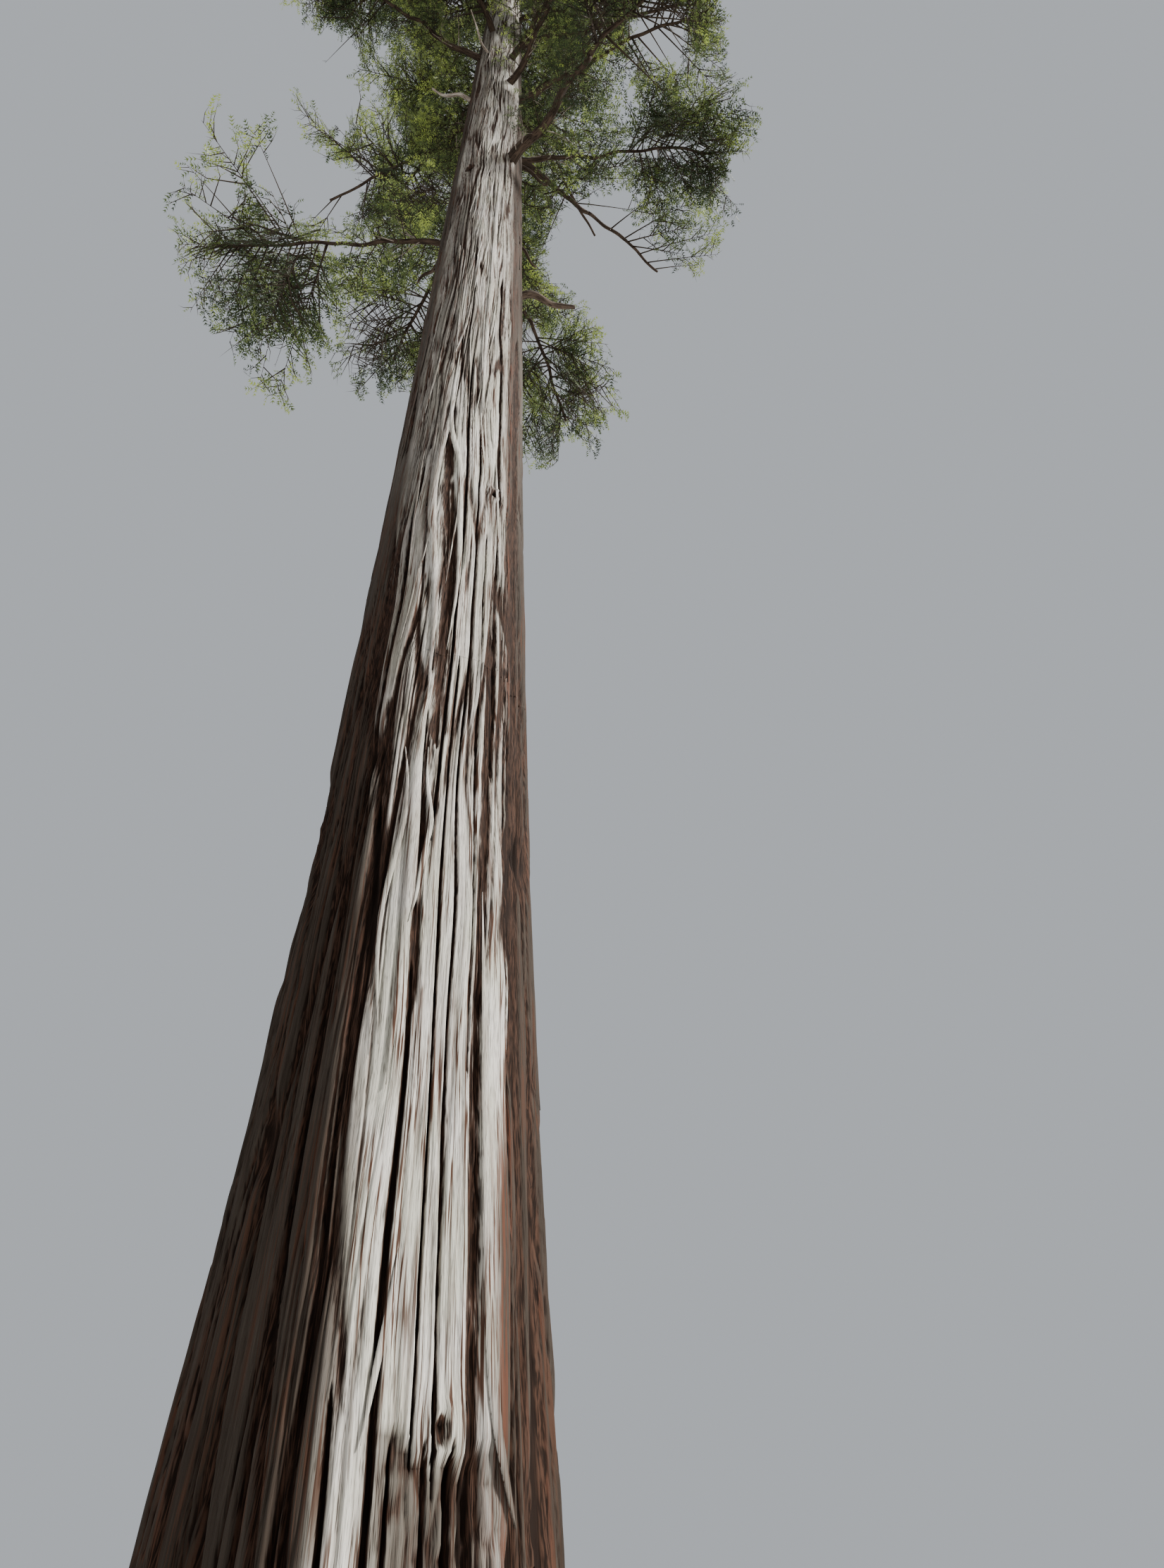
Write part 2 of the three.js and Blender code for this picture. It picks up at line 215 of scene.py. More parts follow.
def tube_shape(rings: np.ndarray, values: dict[str, np.ndarray] | None = None) -> Shape:
    """A closed tube.

    Formula: each ring is joined to the next by a band of quads, and both ends are closed by a fan of
    triangles about the ring's middle. Seen along the tube, the rings' points run anticlockwise.

    Args:
        rings: the points, as an array of rings x points x 3.
        values: values at the points, as arrays of rings x points, or rings x points x 3.

    Returns:
        The shape, with each end's middle point last.
    """
    count, sides = rings.shape[:2]
    row, column = np.meshgrid(np.arange(count - 1), np.arange(sides), indexing="ij")
    after = (column + 1) % sides
    low_row, high_row = row * sides, (row + 1) * sides
    quads = np.stack([low_row + column, low_row + after, high_row + after, high_row + column], -1)
    here = np.arange(sides)
    ahead = (here + 1) % sides
    last = (count - 1) * sides
    low, high = count * sides, count * sides + 1
    fans = np.concatenate(
        [
            np.stack([ahead, here, np.full(sides, low)], 1),
            np.stack([last + here, last + ahead, np.full(sides, high)], 1),
        ]
    )

    def with_middles(grid: np.ndarray) -> np.ndarray:
        """A grid's values in a row, then the means of its first and last rings."""
        flat = grid.reshape(count * sides, *grid.shape[2:])
        return np.concatenate([flat, grid[[0]].mean(1), grid[[-1]].mean(1)])

    kept = {key: with_middles(value) for key, value in (values or {}).items()}
    return Shape(with_middles(rings), quads.reshape(-1, 4), fans, kept)


@dataclass(frozen=True)
class Curve:
    """A Bezier curve that is read by shares of its length."""

    controls: np.ndarray

    def _at(self, t: np.ndarray) -> np.ndarray:
        """The curve's points.

        Formula: its controls, weighted by the Bernstein polynomials of t.

        Args:
            t: the curve's parameters, from 0 to 1.

        Returns:
            An array of points.
        """
        degree = len(self.controls) - 1
        weights = [math.comb(degree, i) * t**i * (1 - t) ** (degree - i) for i in range(degree + 1)]
        return np.stack(weights, -1) @ self.controls

    def _steps(self, shares: np.ndarray) -> np.ndarray:
        """The parameters at shares of the length, measured along 200 chords.

        Args:
            shares: shares from 0 to 1.

        Returns:
            The curve's parameters.
        """
        t = np.linspace(0, 1, 201)
        chords = np.linalg.norm(np.diff(self._at(t), axis=0), axis=1)
        length = np.concatenate([[0], np.cumsum(chords)])
        return np.interp(np.asarray(shares, float) * length[-1], length, t)

    def length(self) -> float:
        """The curve's length, from 200 chords."""
        return float(np.linalg.norm(np.diff(self._at(np.linspace(0, 1, 201)), axis=0), axis=1).sum())

    def points(self, shares: np.ndarray) -> np.ndarray:
        """The points at shares of the length."""
        return self._at(self._steps(shares))

    def tangents(self, shares: np.ndarray) -> np.ndarray:
        """The unit tangents at shares of the length."""
        t = self._steps(shares)
        return unit(self._at(np.minimum(t + 1e-4, 1)) - self._at(np.maximum(t - 1e-4, 0)))


@dataclass(frozen=True)
class Way:
    """A limb's middle: a curve that wanders by noise, and is held at both ends."""

    curve: Curve
    seed: int
    wander: float

    def points(self, share: np.ndarray) -> np.ndarray:
        """The points at shares of the length.

        Formula: the curve's points are moved sideways and up by two noises, which are held at nothing
        at both ends by a power of a sine.

        Args:
            share: shares of the length.

        Returns:
            An array of points.
        """
        along = share * self.curve.length()
        side = unit(np.cross(self.curve.tangents(share), UP))
        held = np.sin(math.pi * share) ** 0.7 * self.wander
        sideways = held * lattice_noise(along / 0.3, along * 0, 64, self.seed)
        upwards = held * lattice_noise(along / 0.26, along * 0, 64, self.seed + 1)
        return self.curve.points(share) + side * sideways[:, None] + UP * upwards[:, None]


class Graph:
    """The nodes of one material, each made by a short call."""

    def __init__(self, name: str, roughness: float, specular: float = 0.3) -> None:
        """Starts a material with one shader, whose even values are set on its own sockets.

        Args:
            name: the material's name.
            roughness: how rough it is.
            specular: how strongly it shines, with 0.5 the usual.
        """
        self.material = bpy.data.materials.new(name)
        self.material.use_nodes = True
        self.tree = self.material.node_tree
        self.shader = self.tree.nodes["Principled BSDF"]
        self.shader.inputs["Roughness"].default_value = roughness
        self.shader.inputs["Specular IOR Level"].default_value = specular

    def node(self, kind: str, inputs: dict[int | str, object], **settings: object) -> bpy.types.Node:
        """Adds a node.

        Args:
            kind: the node's type, without the words ShaderNode.
            inputs: for each input, its value or the socket that feeds it.
            settings: the node's other settings.

        Returns:
            The new node.
        """
        node = self.tree.nodes.new("ShaderNode" + kind)
        for key, value in settings.items():
            setattr(node, key, value)
        for key, value in inputs.items():
            if isinstance(value, bpy.types.NodeSocket):
                self.tree.links.new(value, node.inputs[key])
            else:
                node.inputs[key].default_value = value
        return node

    def attribute(self, name: str, output: str = "Fac") -> bpy.types.NodeSocket:
        """A value that the mesh holds at its points."""
        return self.node("Attribute", {}, attribute_name=name).outputs[output]

    def streaks(self, across: float, along: float, detail: float = 4) -> bpy.types.NodeSocket:
        """Noise that is drawn out along the wood's grain.

        Args:
            across: its size across the grain, in metres.
            along: its size along the grain, in metres.
            detail: how many finer layers it has.

        Returns:
            The socket, with values from 0 to 1.
        """
        stretch = (1 / across, 1 / across, 1 / along)
        grain = self.attribute("grain", "Vector")
        stretched = self.node("VectorMath", {0: grain, 1: stretch}, operation="MULTIPLY").outputs[0]
        return self.node("TexNoise", {"Vector": stretched, "Scale": 1, "Detail": detail}).outputs[0]

    def lines(self, across: float, along: float, thickness: float) -> bpy.types.NodeSocket:
        """Thin winding lines along the grain: where the drawn-out noise is at its middle.

        Args:
            across: the noise's size across the grain, in metres.
            along: its size along the grain, in metres.
            thickness: how far from its middle the noise still counts as a line.

        Returns:
            The socket, which is 1 on a line.
        """
        streaks = self.streaks(across, along, 2)
        off = self.node("Math", {0: streaks, 1: 0.5}, operation="SUBTRACT").outputs[0]
        return self.part(self.math("ABSOLUTE", off), thickness, 0.3 * thickness)

    def part(self, value: bpy.types.NodeSocket, low: float, high: float) -> bpy.types.NodeSocket:
        """How far a value is from low, 0, to high, 1."""
        inputs = {"Value": value, "From Min": low, "From Max": high}
        return self.node("MapRange", inputs, interpolation_type="SMOOTHSTEP").outputs[0]

    def math(self, operation: str, *values: object) -> bpy.types.NodeSocket:
        """One sum of numbers, held between 0 and 1."""
        inputs = dict(enumerate(values))
        return self.node("Math", inputs, operation=operation, use_clamp=True).outputs[0]

    def mix(self, share: object, first: object, second: object) -> bpy.types.NodeSocket:
        """The first colour, replaced by the second to a share."""
        ends = [(*c, 1) if isinstance(c, tuple) else c for c in (first, second)]
        return self.node("Mix", {0: share, 6: ends[0], 7: ends[1]}, data_type="RGBA").outputs[2]

    def finish(
        self, colour: object, height: bpy.types.NodeSocket | None = None, depth: float = 0.002
    ) -> bpy.types.Material:
        """Gives the shader its colour and its bump.

        Args:
            colour: a plain colour, or the socket that feeds it.
            height: the socket that the bump reads, if there is a bump.
            depth: the bump's depth in metres.

        Returns:
            The finished material.
        """
        if isinstance(colour, tuple):
            self.shader.inputs["Base Color"].default_value = (*colour, 1)
        else:
            self.tree.links.new(colour, self.shader.inputs["Base Color"])
        if height is not None:
            bump = self.node("Bump", {"Height": height, "Distance": depth, "Strength": 1})
            self.tree.links.new(bump.outputs[0], self.shader.inputs["Normal"])
        return self.material


@dataclass(frozen=True)
class BarkFinish:
    """The trunk's bark: silver on the plates from weathering and painted sunlight, dark brown off them with
    painted shade, red-brown and dark in the furrows, near black in their floors as painted shade.
    """

    # Silver pale enough to hold painted sunlight as well as weathering.
    silver: Colour = (0.57, 0.555, 0.53)
    lichen: Colour = (0.48, 0.475, 0.425)
    grey: Colour = (0.22, 0.2, 0.175)
    # Dark brown off the silver, darkened further as painted shade on the sides.
    brown: Colour = (0.036, 0.026, 0.02)
    fibre: Colour = (0.17, 0.145, 0.12)
    # Near black in the furrows' floors: red-brown bark darkened as painted shade in the recesses.
    furrow: Colour = (0.018, 0.01, 0.007)
    wall: Colour = (0.078, 0.043, 0.03)
    ruddy: Colour = (0.125, 0.056, 0.037)

    def material(self) -> bpy.types.Material:
        """Mixes the finish from the bark's own values: height, tone, weathering with painted sunlight, and
        redness.

        Formula: grey and silver lie on the plates by their weathering and painted sunlight, in bands along
        the grain, and off them the plates stay dark brown, darkened as painted shade. Fibres, thin cracks and
        ruddy streaks break them. Below the plates' edges lie the furrows' dark walls, and below those their
        floors, near black as painted shade.

        Returns:
            The material.
        """
        g = Graph("trunk_bark", roughness=0.88, specular=0.25)
        height, tone = g.attribute("height"), g.attribute("tone")
        weather = g.attribute("weather")
        bands, fibres = g.streaks(0.024, 0.9, 3), g.streaks(0.0075, 0.4, 3)
        fine = g.streaks(0.0027, 0.1, 2)
        tint = g.part(g.streaks(0.12, 0.5, 2), 0.35, 0.65)
        # Off the silver the plates go dark brown: painted shade.
        top = g.mix(g.math("MULTIPLY_ADD", tone, 0.18, weather), self.brown, self.grey)
        silver = g.mix(tint, self.silver, self.lichen)
        top = g.mix(g.math("MULTIPLY", weather, g.part(bands, 0.2, 0.5)), top, silver)
        frayed = g.math("MULTIPLY_ADD", weather, 0.24, 0.12)
        top = g.mix(g.math("MULTIPLY", g.part(fibres, 0.48, 0.38), frayed), top, self.fibre)
        top = g.mix(g.math("MULTIPLY", g.part(fine, 0.48, 0.36), 0.48), top, self.brown)
        cracked = g.part(g.streaks(0.06, 0.8, 1), 0.42, 0.58)
        top = g.mix(g.math("MULTIPLY", g.lines(0.017, 1.2, 0.05), cracked), top, self.wall)
        red = g.math("MULTIPLY", g.attribute("redness"), g.part(fibres, 0.44, 0.6))
        top = g.mix(red, top, self.ruddy)
        # Furrow walls and floors go darker with depth, to near black: painted shade in furrows, deep cracks
        # and knot holes.
        side = g.mix(g.part(fine, 0.4, 0.62), self.furrow, self.wall)
        shown = g.math("MULTIPLY_ADD", g.part(fine, 0.3, 0.7), 0.2, height)
        colour = g.mix(g.part(shown, 0.6, 0.86), side, top)
        colour = g.mix(g.part(height, 0.36, 0.08), colour, self.furrow)
        relief = g.math("ADD", g.math("MULTIPLY", fibres, 0.6), g.math("MULTIPLY", fine, 0.4))
        return g.finish(colour, relief, 0.006)


@dataclass(frozen=True)
class LimbFinish:
    """Bark or bare wood on a limb: two colours that follow the grain, and dark cracks."""

    name: str
    light: Colour
    dark: Colour
    crack: Colour

    def material(self) -> bpy.types.Material:
        """The finish, with streaks along the limb.

        Returns:
            The material.
        """
        g = Graph(self.name, roughness=0.85, specular=0.25)
        broad, fine = g.streaks(0.03, 0.16), g.streaks(0.008, 0.07)
        colour = g.mix(g.part(broad, 0.35, 0.65), self.dark, self.light)
        colour = g.mix(g.part(fine, 0.45, 0.33), colour, self.crack)
        relief = g.math("ADD", g.math("MULTIPLY", broad, 0.5), g.math("MULTIPLY", fine, 0.5))
        return g.finish(colour, relief, 0.006)


class Wood(Enum):
    """The finishes of limbs."""

    LIVE = LimbFinish("limb_bark", (0.088, 0.064, 0.049), (0.036, 0.026, 0.02), (0.012, 0.008, 0.007))
    DARK = LimbFinish("dark_wood", (0.13, 0.1, 0.08), (0.055, 0.04, 0.031), (0.015, 0.01, 0.008))
    SILVER = LimbFinish("dead_wood", (0.42, 0.39, 0.355), (0.2, 0.165, 0.14), (0.05, 0.032, 0.024))


class Green(Enum):
    """The greens that the sprays of needles are dealt, from the darkest to the brightest: painted shade deep
    in the crown and painted sunlight out and up at the tips, mixed with chance.
    """

    DEEP_SHADE = (0.035, 0.053, 0.024)
    LEAF = (0.1, 0.137, 0.054)
    LIGHT = (0.21, 0.265, 0.1)
    TIP = (0.35, 0.43, 0.13)


@dataclass(frozen=True)
class TrunkForm:
    """The trunk's form, as the source gives it."""

    height: float = 40.0
    lean: float = 3.1
    stem_radius: float = 0.595
    buttress: tuple[float, float] = (0.27, 3.14)
    foot: tuple[float, float] = (0.15, 0.45)
    flutes: int = 7

    def radius(self, z: np.ndarray) -> np.ndarray:
        """The mean radius.

        Formula: a shaft that loses a part of its radius evenly and a part by the fifth power of the
        height, with a wide and a narrow flare that each fade upwards.

        Args:
            z: heights.

        Returns:
            The radii in metres.
        """
        share = z / self.height
        shaft = self.stem_radius * (1 - 0.62 * share - 0.36 * share**5)
        flare = self.buttress[0] * np.exp(-z / self.buttress[1])
        return shaft + flare + self.foot[0] * np.exp(-z / self.foot[1])

    def fluting(self, angle: np.ndarray, z: np.ndarray) -> np.ndarray:
        """Broad flutes round the trunk.

        Formula: one plus a cosine with a wave for each flute, which is shifted by a sine of twice the
        angle, and slowly by the height. Its depth fades upwards.

        Args:
            angle: angles round the trunk.
            z: heights.

        Returns:
            What the mean radius is multiplied by.
        """
        depth = 0.012 + 0.07 * np.exp(-z / 2.6)
        wander = 0.5 * np.sin(2 * angle + 1.3)
        return 1 + depth * np.cos(self.flutes * angle + wander + z / 9)

    def centre(self, z: np.ndarray) -> np.ndarray:
        """The trunk's middle at a height."""
        z = np.asarray(z, float)
        return np.stack([math.tan(math.radians(self.lean)) * z, np.zeros_like(z), z], -1)

    def surface(self, angle: np.ndarray, z: np.ndarray, lift: np.ndarray) -> np.ndarray:
        """Points that are lifted off the smooth trunk.

        Args:
            angle: angles round the trunk.
            z: heights.
            lift: how far they are lifted, in metres.

        Returns:
            An array of points.
        """
        radius = self.radius(z) * self.fluting(angle, z) + lift
        ring = np.stack([np.cos(angle), np.sin(angle), np.zeros_like(angle)], -1)
        return self.centre(z) + ring * radius[..., None]


@dataclass(frozen=True)
class Plates:
    """A pattern of long cells round the trunk, each with its own level, tone and weight."""

    columns: int
    seed: int
    hollow: float

    def read(self, x: np.ndarray, y: np.ndarray) -> tuple[np.ndarray, np.ndarray, np.ndarray]:
        """Reads the cells at places that are given in cells across and along.

        Formula: each cell has a middle, moved by chance off its lattice place. A place belongs to the
        middle that is nearest, less that cell's weight. The edge lies where the nearest and the second
        nearest are alike.

        Args:
            x: places across; the pattern repeats after `columns`.
            y: places along.

        Returns:
            How far each place is from its cell's edge, and the cell's level and tone.
        """
        rows = 64
        chance = np.random.default_rng(self.seed)
        shift_x, shift_y, weight, tone = chance.uniform(-1, 1, (4, rows, self.columns))
        level = np.where(chance.random((rows, self.columns)) < self.hollow, 0.1, 1.0)
        level += 0.14 * chance.uniform(-1, 0, level.shape) * level
        left, low = np.floor(x).astype(int), np.floor(y).astype(int)
        first = np.full(x.shape, 99.0)
        second = np.full(x.shape, 99.0)
        found = [np.zeros(x.shape), np.zeros(x.shape)]
        for j in (-1, 0, 1):
            for i in (-2, -1, 0, 1, 2):
                row, column = (low + j) % rows, (left + i) % self.columns
                across = left + i + 0.5 + 0.36 * shift_x[row, column] - x
                along = low + j + 0.5 + 0.48 * shift_y[row, column] - y
                wide = np.where(level[row, column] > 0.5, 0.16, -0.2)
                far = np.hypot(across, along) - wide - 0.14 * weight[row, column]
                nearer = far < first
                second = np.where(nearer, first, np.minimum(second, far))
                first = np.where(nearer, far, first)
                found = [
                    np.where(nearer, table[row, column], kept) for table, kept in zip((level, tone), found)
                ]
        return (second - first) / 2, found[0], found[1]


@dataclass(frozen=True)
class Braid:
    """Winding cracks that part and meet again: its noise steps round the trunk, and their length."""

    columns: int
    length: float
    seed: int

    def read(self, turn: np.ndarray, z: np.ndarray) -> np.ndarray:
        """How far places are from a crack, from 0 to 1.

        Formula: a noise that is drawn out along the trunk has cracks where it passes through nothing, so
        the distance is its size. Its places are first moved across by a broader noise.

        Args:
            turn: angles along the grain.
            z: heights.

        Returns:
            The distances, in the shape of z.
        """
        broad = self.columns // 5
        sway = lattice_noise(turn * broad / AROUND, z / (1.7 * self.length), broad, self.seed + 1)
        across = turn * self.columns / AROUND + 1.3 * sway
        return np.abs(lattice_noise(across, z / self.length, self.columns, self.seed))


@dataclass(frozen=True)
class Knot:
    """A place where the grain parts: its angle in degrees, its height and its size in metres."""

    angle: float
    z: float
    size: float
    stretch: float = 1.6
    depth: float = 0.03
    rim: float = 0.5

    def offset(self, angle: np.ndarray, z: np.ndarray, radius: np.ndarray) -> tuple[np.ndarray, np.ndarray]:
        """How far places are from the knot, across and along, in sizes of the knot."""
        turned = (angle - math.radians(self.angle) + math.pi) % AROUND - math.pi
        return turned * radius / self.size, (z - self.z) / (self.size * self.stretch)


@dataclass(frozen=True)
class Furrow:
    """A long furrow that shows: its angles in degrees and heights at both ends, its width and its floor."""

    low: tuple[float, float]
    high: tuple[float, float]
    width: float
    bend: float = 0.0
    floor: float = 0.08

    def carved(self, angle: np.ndarray, z: np.ndarray, radius: np.ndarray) -> np.ndarray:
        """How deep a place lies in the furrow, from 0 to 1.

        Formula: the furrow's middle runs straight from end to end, with a bend in degrees that is
        most halfway. It tapers to both ends, and its sides are smooth steps.

        Args:
            angle: angles round the trunk.
            z: heights.
            radius: the trunk's radius there.

        Returns:
            The depths, in the shape of z.
        """
        share = np.clip((z - self.low[1]) / (self.high[1] - self.low[1]), 0, 1)
        middle = self.low[0] + (self.high[0] - self.low[0]) * share + self.bend * np.sin(math.pi * share)
        away = np.abs((angle - np.radians(middle) + math.pi) % AROUND - math.pi) * radius
        half = self.width / 2 * np.minimum(1, 6 * np.sin(math.pi * share) ** 0.8) + 1e-6
        inside = (z > self.low[1]) & (z < self.high[1])
        return np.where(inside, 1 - smooth(0.35, 1.15, away / half), 0)


@dataclass(frozen=True)
class Log:
    """A stretch of the trunk that is one piece, with its rows and its columns round the trunk."""

    name: str
    low: float
    high: float
    columns: int
    rows: int


@dataclass
class TrunkBark:
    """The trunk's bark: long plates that fork and taper, with cracks and furrows between them."""

    form: TrunkForm
    logs: tuple[Log, ...] = (
        Log("trunk_foot", 0.0, 6.5, 640, 148),
        Log("trunk_low", 6.5, 14.5, 480, 196),
        Log("trunk_mid", 14.5, 25.0, 368, 212),
        Log("trunk_high", 25.0, 40.0, 208, 220),
    )
    crowding: float = 0.58
    lap: float = 0.02
    plates: Plates = Plates(columns=38, seed=11, hollow=0.14)
    blocks: Plates = Plates(columns=96, seed=23, hollow=0.06)
    low_braids: tuple[Braid, Braid] = (Braid(135, 2.1, 31), Braid(290, 1.1, 35))
    high_braids: tuple[Braid, Braid] = (Braid(150, 2.4, 41), Braid(320, 1.1, 45))
    plate_length: float = 4.2
    block_length: float = 0.22
    depth: float = 0.055
    wall: float = 0.01
    # Where the silver and its painted sunlight end on the right: heights, and angles in degrees.
    silver_and_light_end: tuple[tuple[float, float], ...] = (
        (1.7, -53),
        (2.1, -56),
        (2.9, -56),
        (3.3, -52),
        (3.8, -45),
        (6, -43),
        (8.5, -48),
        (16, -45),
        (26, -32),
    )
    furrows: tuple[Furrow, ...] = (
        Furrow((-91, 0.0), (-90, 4.1), 0.028, 0.6),
        Furrow((-89, 3.8), (-94, 5.9), 0.05, 1.5, 0.36),
        Furrow((-106.5, 4.5), (-113, 6.1), 0.08, 0, 0.4),
        Furrow((-87.5, 5.6), (-101, 10.0), 0.095, 0, 0.38),
        Furrow((-79, 1.95), (-81, 6.5), 0.016),
        Furrow((-72.6, 1.85), (-74, 9.5), 0.018, -0.8),
        Furrow((-64, 3.4), (-66.5, 8.0), 0.015),
        Furrow((-63, 0.2), (-58, 6.8), 0.065, 0, 0.3),
        Furrow((-97, 0.2), (-99.5, 2.2), 0.018),
        Furrow((-66, 0.0), (-68, 2.04), 0.036),
        Furrow((-74.2, 0.0), (-75, 2.05), 0.018),
        Furrow((-85, 0.0), (-85.2, 2.05), 0.014),
        Furrow((-103, 0.0), (-109, 4.6), 0.03),
        Furrow((-35, 0.0), (-31, 12.0), 0.12, 0, 0.2),
        Furrow((-120, 0.9), (-118, 9.0), 0.04, -2),
        Furrow((-86, 4.9), (-84, 11.0), 0.018),
        Furrow((-56, 5.4), (-60, 13.0), 0.03, 2),
        Furrow((-46, 1.8), (-45, 8.8), 0.022),
    )
    knots: tuple[Knot, ...] = (
        Knot(-69.6, 2.09, 0.048),
        Knot(-86.1, 2.04, 0.05, 0.5, 0.04, 0.0),
        Knot(-121.9, 16.5, 0.09, 2.0),
        Knot(-60.0, 8.6, 0.05),
        Knot(20.0, 4.2, 0.07),
        Knot(110.0, 7.5, 0.08),
        Knot(160.0, 2.6, 0.06),
    )

    def flow(self, angle: np.ndarray, z: np.ndarray) -> np.ndarray:
        """The angle at which a place's grain would stand if it ran straight up.

        Formula: two noises move the grain sideways, and near a knot the way across shrinks, so that the
        grain parts round it.

        Args:
            angle: angles round the trunk.
            z: heights.

        Returns:
            The angles along the grain.
        """
        radius = self.form.radius(z)
        turn = angle * 1.0
        for knot in self.knots:
            across, along = knot.offset(angle, z, radius)
            near = np.exp(-(across**2 + along**2) / 3)
            turn -= 0.8 * knot.rim * near * across * knot.size / radius
        broad = lattice_noise(angle * 9 / AROUND, z / 2.6, 9, 3)
        close = lattice_noise(angle * 30 / AROUND, z / 0.9, 30, 4)
        return turn + (0.05 * broad + 0.016 * close) / radius

    def open_face(self, degrees: np.ndarray, z: np.ndarray) -> np.ndarray:
        """Where the plates are broad and smooth: two faces on the photograph's side.

        Formula: each face is a flat-topped bell curve of the angle, which fades upwards by a smooth step.

        Args:
            degrees: angles round the trunk, in degrees.
            z: heights.

        Returns:
            Shares from 0 to 1.
        """
        left = np.exp(-(((degrees + 81) / 26) ** 6)) * smooth(9, 4.5, z)
        right = 0.75 * np.exp(-(((degrees + 68) / 17) ** 4)) * smooth(15, 8, z)
        return np.maximum(left, right)

    def plated(self, angle: np.ndarray, turn: np.ndarray, z: np.ndarray) -> tuple[np.ndarray, ...]:
        """The plates' heights, scored by their cracks.

        Formula: a plate rises from the edge of its cell by a smooth step to its level. Two braids of
        cracks, one broad and one fine, score all plates but the smooth ones.

        Args:
            angle: angles round the trunk.
            turn: angles along the grain, crowded on the photograph's side.
            z: heights.

        Returns:
            The height, the cell's level and tone, and how smooth and how rough the plate is.
        """
        width = AROUND * self.form.radius(z) / self.plates.columns
        rise = z * (1 + 0.05 * z) / self.plate_length
        edge, level, tone = self.plates.read(turn * self.plates.columns / AROUND, rise)
        upper = smooth(5.5, 10.5, z)
        open_face = self.open_face(np.degrees(angle), z)
        raised = np.maximum(open_face, 0.85 * upper)
        level = level + np.where(level < 0.5, 0.9 - level, 0) * raised
        fade = lattice_noise(turn * 19 / AROUND, z / 1.1, 19, 5)
        crack = 0.28 + 0.24 * fade + 0.48 * np.maximum(open_face, upper)
        height = crack + (level - crack) * smooth(0, self.wall, edge * width)

        smoothness = np.maximum(open_face, smooth(0.35, 0.6, tone) * smooth(-0.5, 0, fade))
        broad, fine = (
            low.read(turn, z) * (1 - upper) + high.read(turn, z) * upper
            for low, high in zip(self.low_braids, self.high_braids)
        )
        rough = (1 - 0.85 * smoothness) * smooth(0.2, 0.7, level)
        ridges = smooth(0.0, 0.22, broad) * (0.6 + 0.4 * smooth(0.0, 0.24, fine))
        height = height - rough * (0.6 + 0.1 * upper) * (1 - ridges)
        height = height - 0.12 * rough * (1 - smooth(0.1, 0.8, fine))
        return height + 0.3 * upper * (1 - height), level, tone, smoothness, rough

    def carved(self, height: np.ndarray, angle: np.ndarray, z: np.ndarray) -> tuple[np.ndarray, np.ndarray]:
        """The heights with the furrows that show, each let down to its floor.

        Args:
            height: the heights so far.
            angle: angles along the grain.
            z: heights on the trunk.

        Returns:
            The new heights, and how deep each place lies in a furrow.
        """
        deepest = np.zeros(z.shape)
        radius = self.form.radius(z)
        for furrow in self.furrows:
            deep = furrow.carved(angle, z, radius)
            height = height + (np.minimum(furrow.floor, height) - height) * deep
            deepest = np.maximum(deepest, deep)
        return height, deepest

    def knotted(
        self, lift: np.ndarray, height: np.ndarray, angle: np.ndarray, z: np.ndarray
    ) -> tuple[np.ndarray, np.ndarray]:
        """The lift and the heights with the knots: a hole by a bell curve, a raised rim, and whorls.

        Args:
            lift: the lift so far.
            height: the heights so far.
            angle: angles round the trunk.
            z: heights on the trunk.

        Returns:
            The new lift and heights.
        """
        radius = self.form.radius(z)
        for knot in self.knots:
            across, along = knot.offset(angle, z, radius)
            far = np.hypot(across, along)
            ring = np.exp(-((far - 0.8) ** 2) / 0.16)
            lift = lift + knot.depth * (knot.rim * ring - np.exp(-(far**2) / 0.2))
            whorl = knot.rim * np.exp(-(far**2) / 2.2) * (0.5 - 0.5 * np.cos(AROUND * far / 0.42))
            height = height - np.exp(-(far**2) / 0.16) - 0.8 * whorl
        return lift, height

    def relief(self, angle: np.ndarray, z: np.ndarray) -> tuple[np.ndarray, dict[str, np.ndarray]]:
        """The bark's height over the smooth trunk, and what its finish reads.

        Formula: furrows are let into the plates. Thin slanting ridges and lumps lie in the hollows, and
        noise drawn out along the grain gives the fibres. Below the knots the bark is broken into blocks.

        Args:
            angle: angles round the trunk.
            z: heights.

        Returns:
            The lift in metres, and the arrays grain, height, tone, weathering with painted sunlight, and
            redness.
        """
        radius = self.form.radius(z)
        flow = self.flow(angle, z)
        turn = flow - 0.3 * np.sin(flow - FRONT)
        height, level, tone, smoothness, rough = self.plated(angle, turn, z)
        height, carved = self.carved(height, flow, z)

        slant = turn * 260 / AROUND + z * 0.9
        ridge = 1 - smooth(0, 0.3, np.abs(lattice_noise(slant, z / 0.7, 260, 7)))
        hollow = np.maximum(smooth(0.75, 0.3, level), carved)
        lumps = lattice_noise(turn * 240 / AROUND, z / 0.09, 240, 8)
        height = height + hollow * (0.22 * ridge + 0.1 * lumps)
        height = height + 0.05 * lattice_noise(turn * 420 / AROUND, z / 0.3, 420, 9)

        block = self.blockiness(turn, angle, z)
        gap, block_level, block_tone = self.blocks.read(
            turn * self.blocks.columns / AROUND, z / self.block_length
        )
        joint = 1 - smooth(0, 0.012, gap * AROUND * radius / self.blocks.columns)
        height = height - block * (0.26 * joint + 0.3 * (1 - block_level) + 0.16 * np.abs(lumps))
        lift = self.depth * (0.35 + radius) * (height - 0.72) - 0.016 * block
        lift, height = self.knotted(lift, height, angle, z)

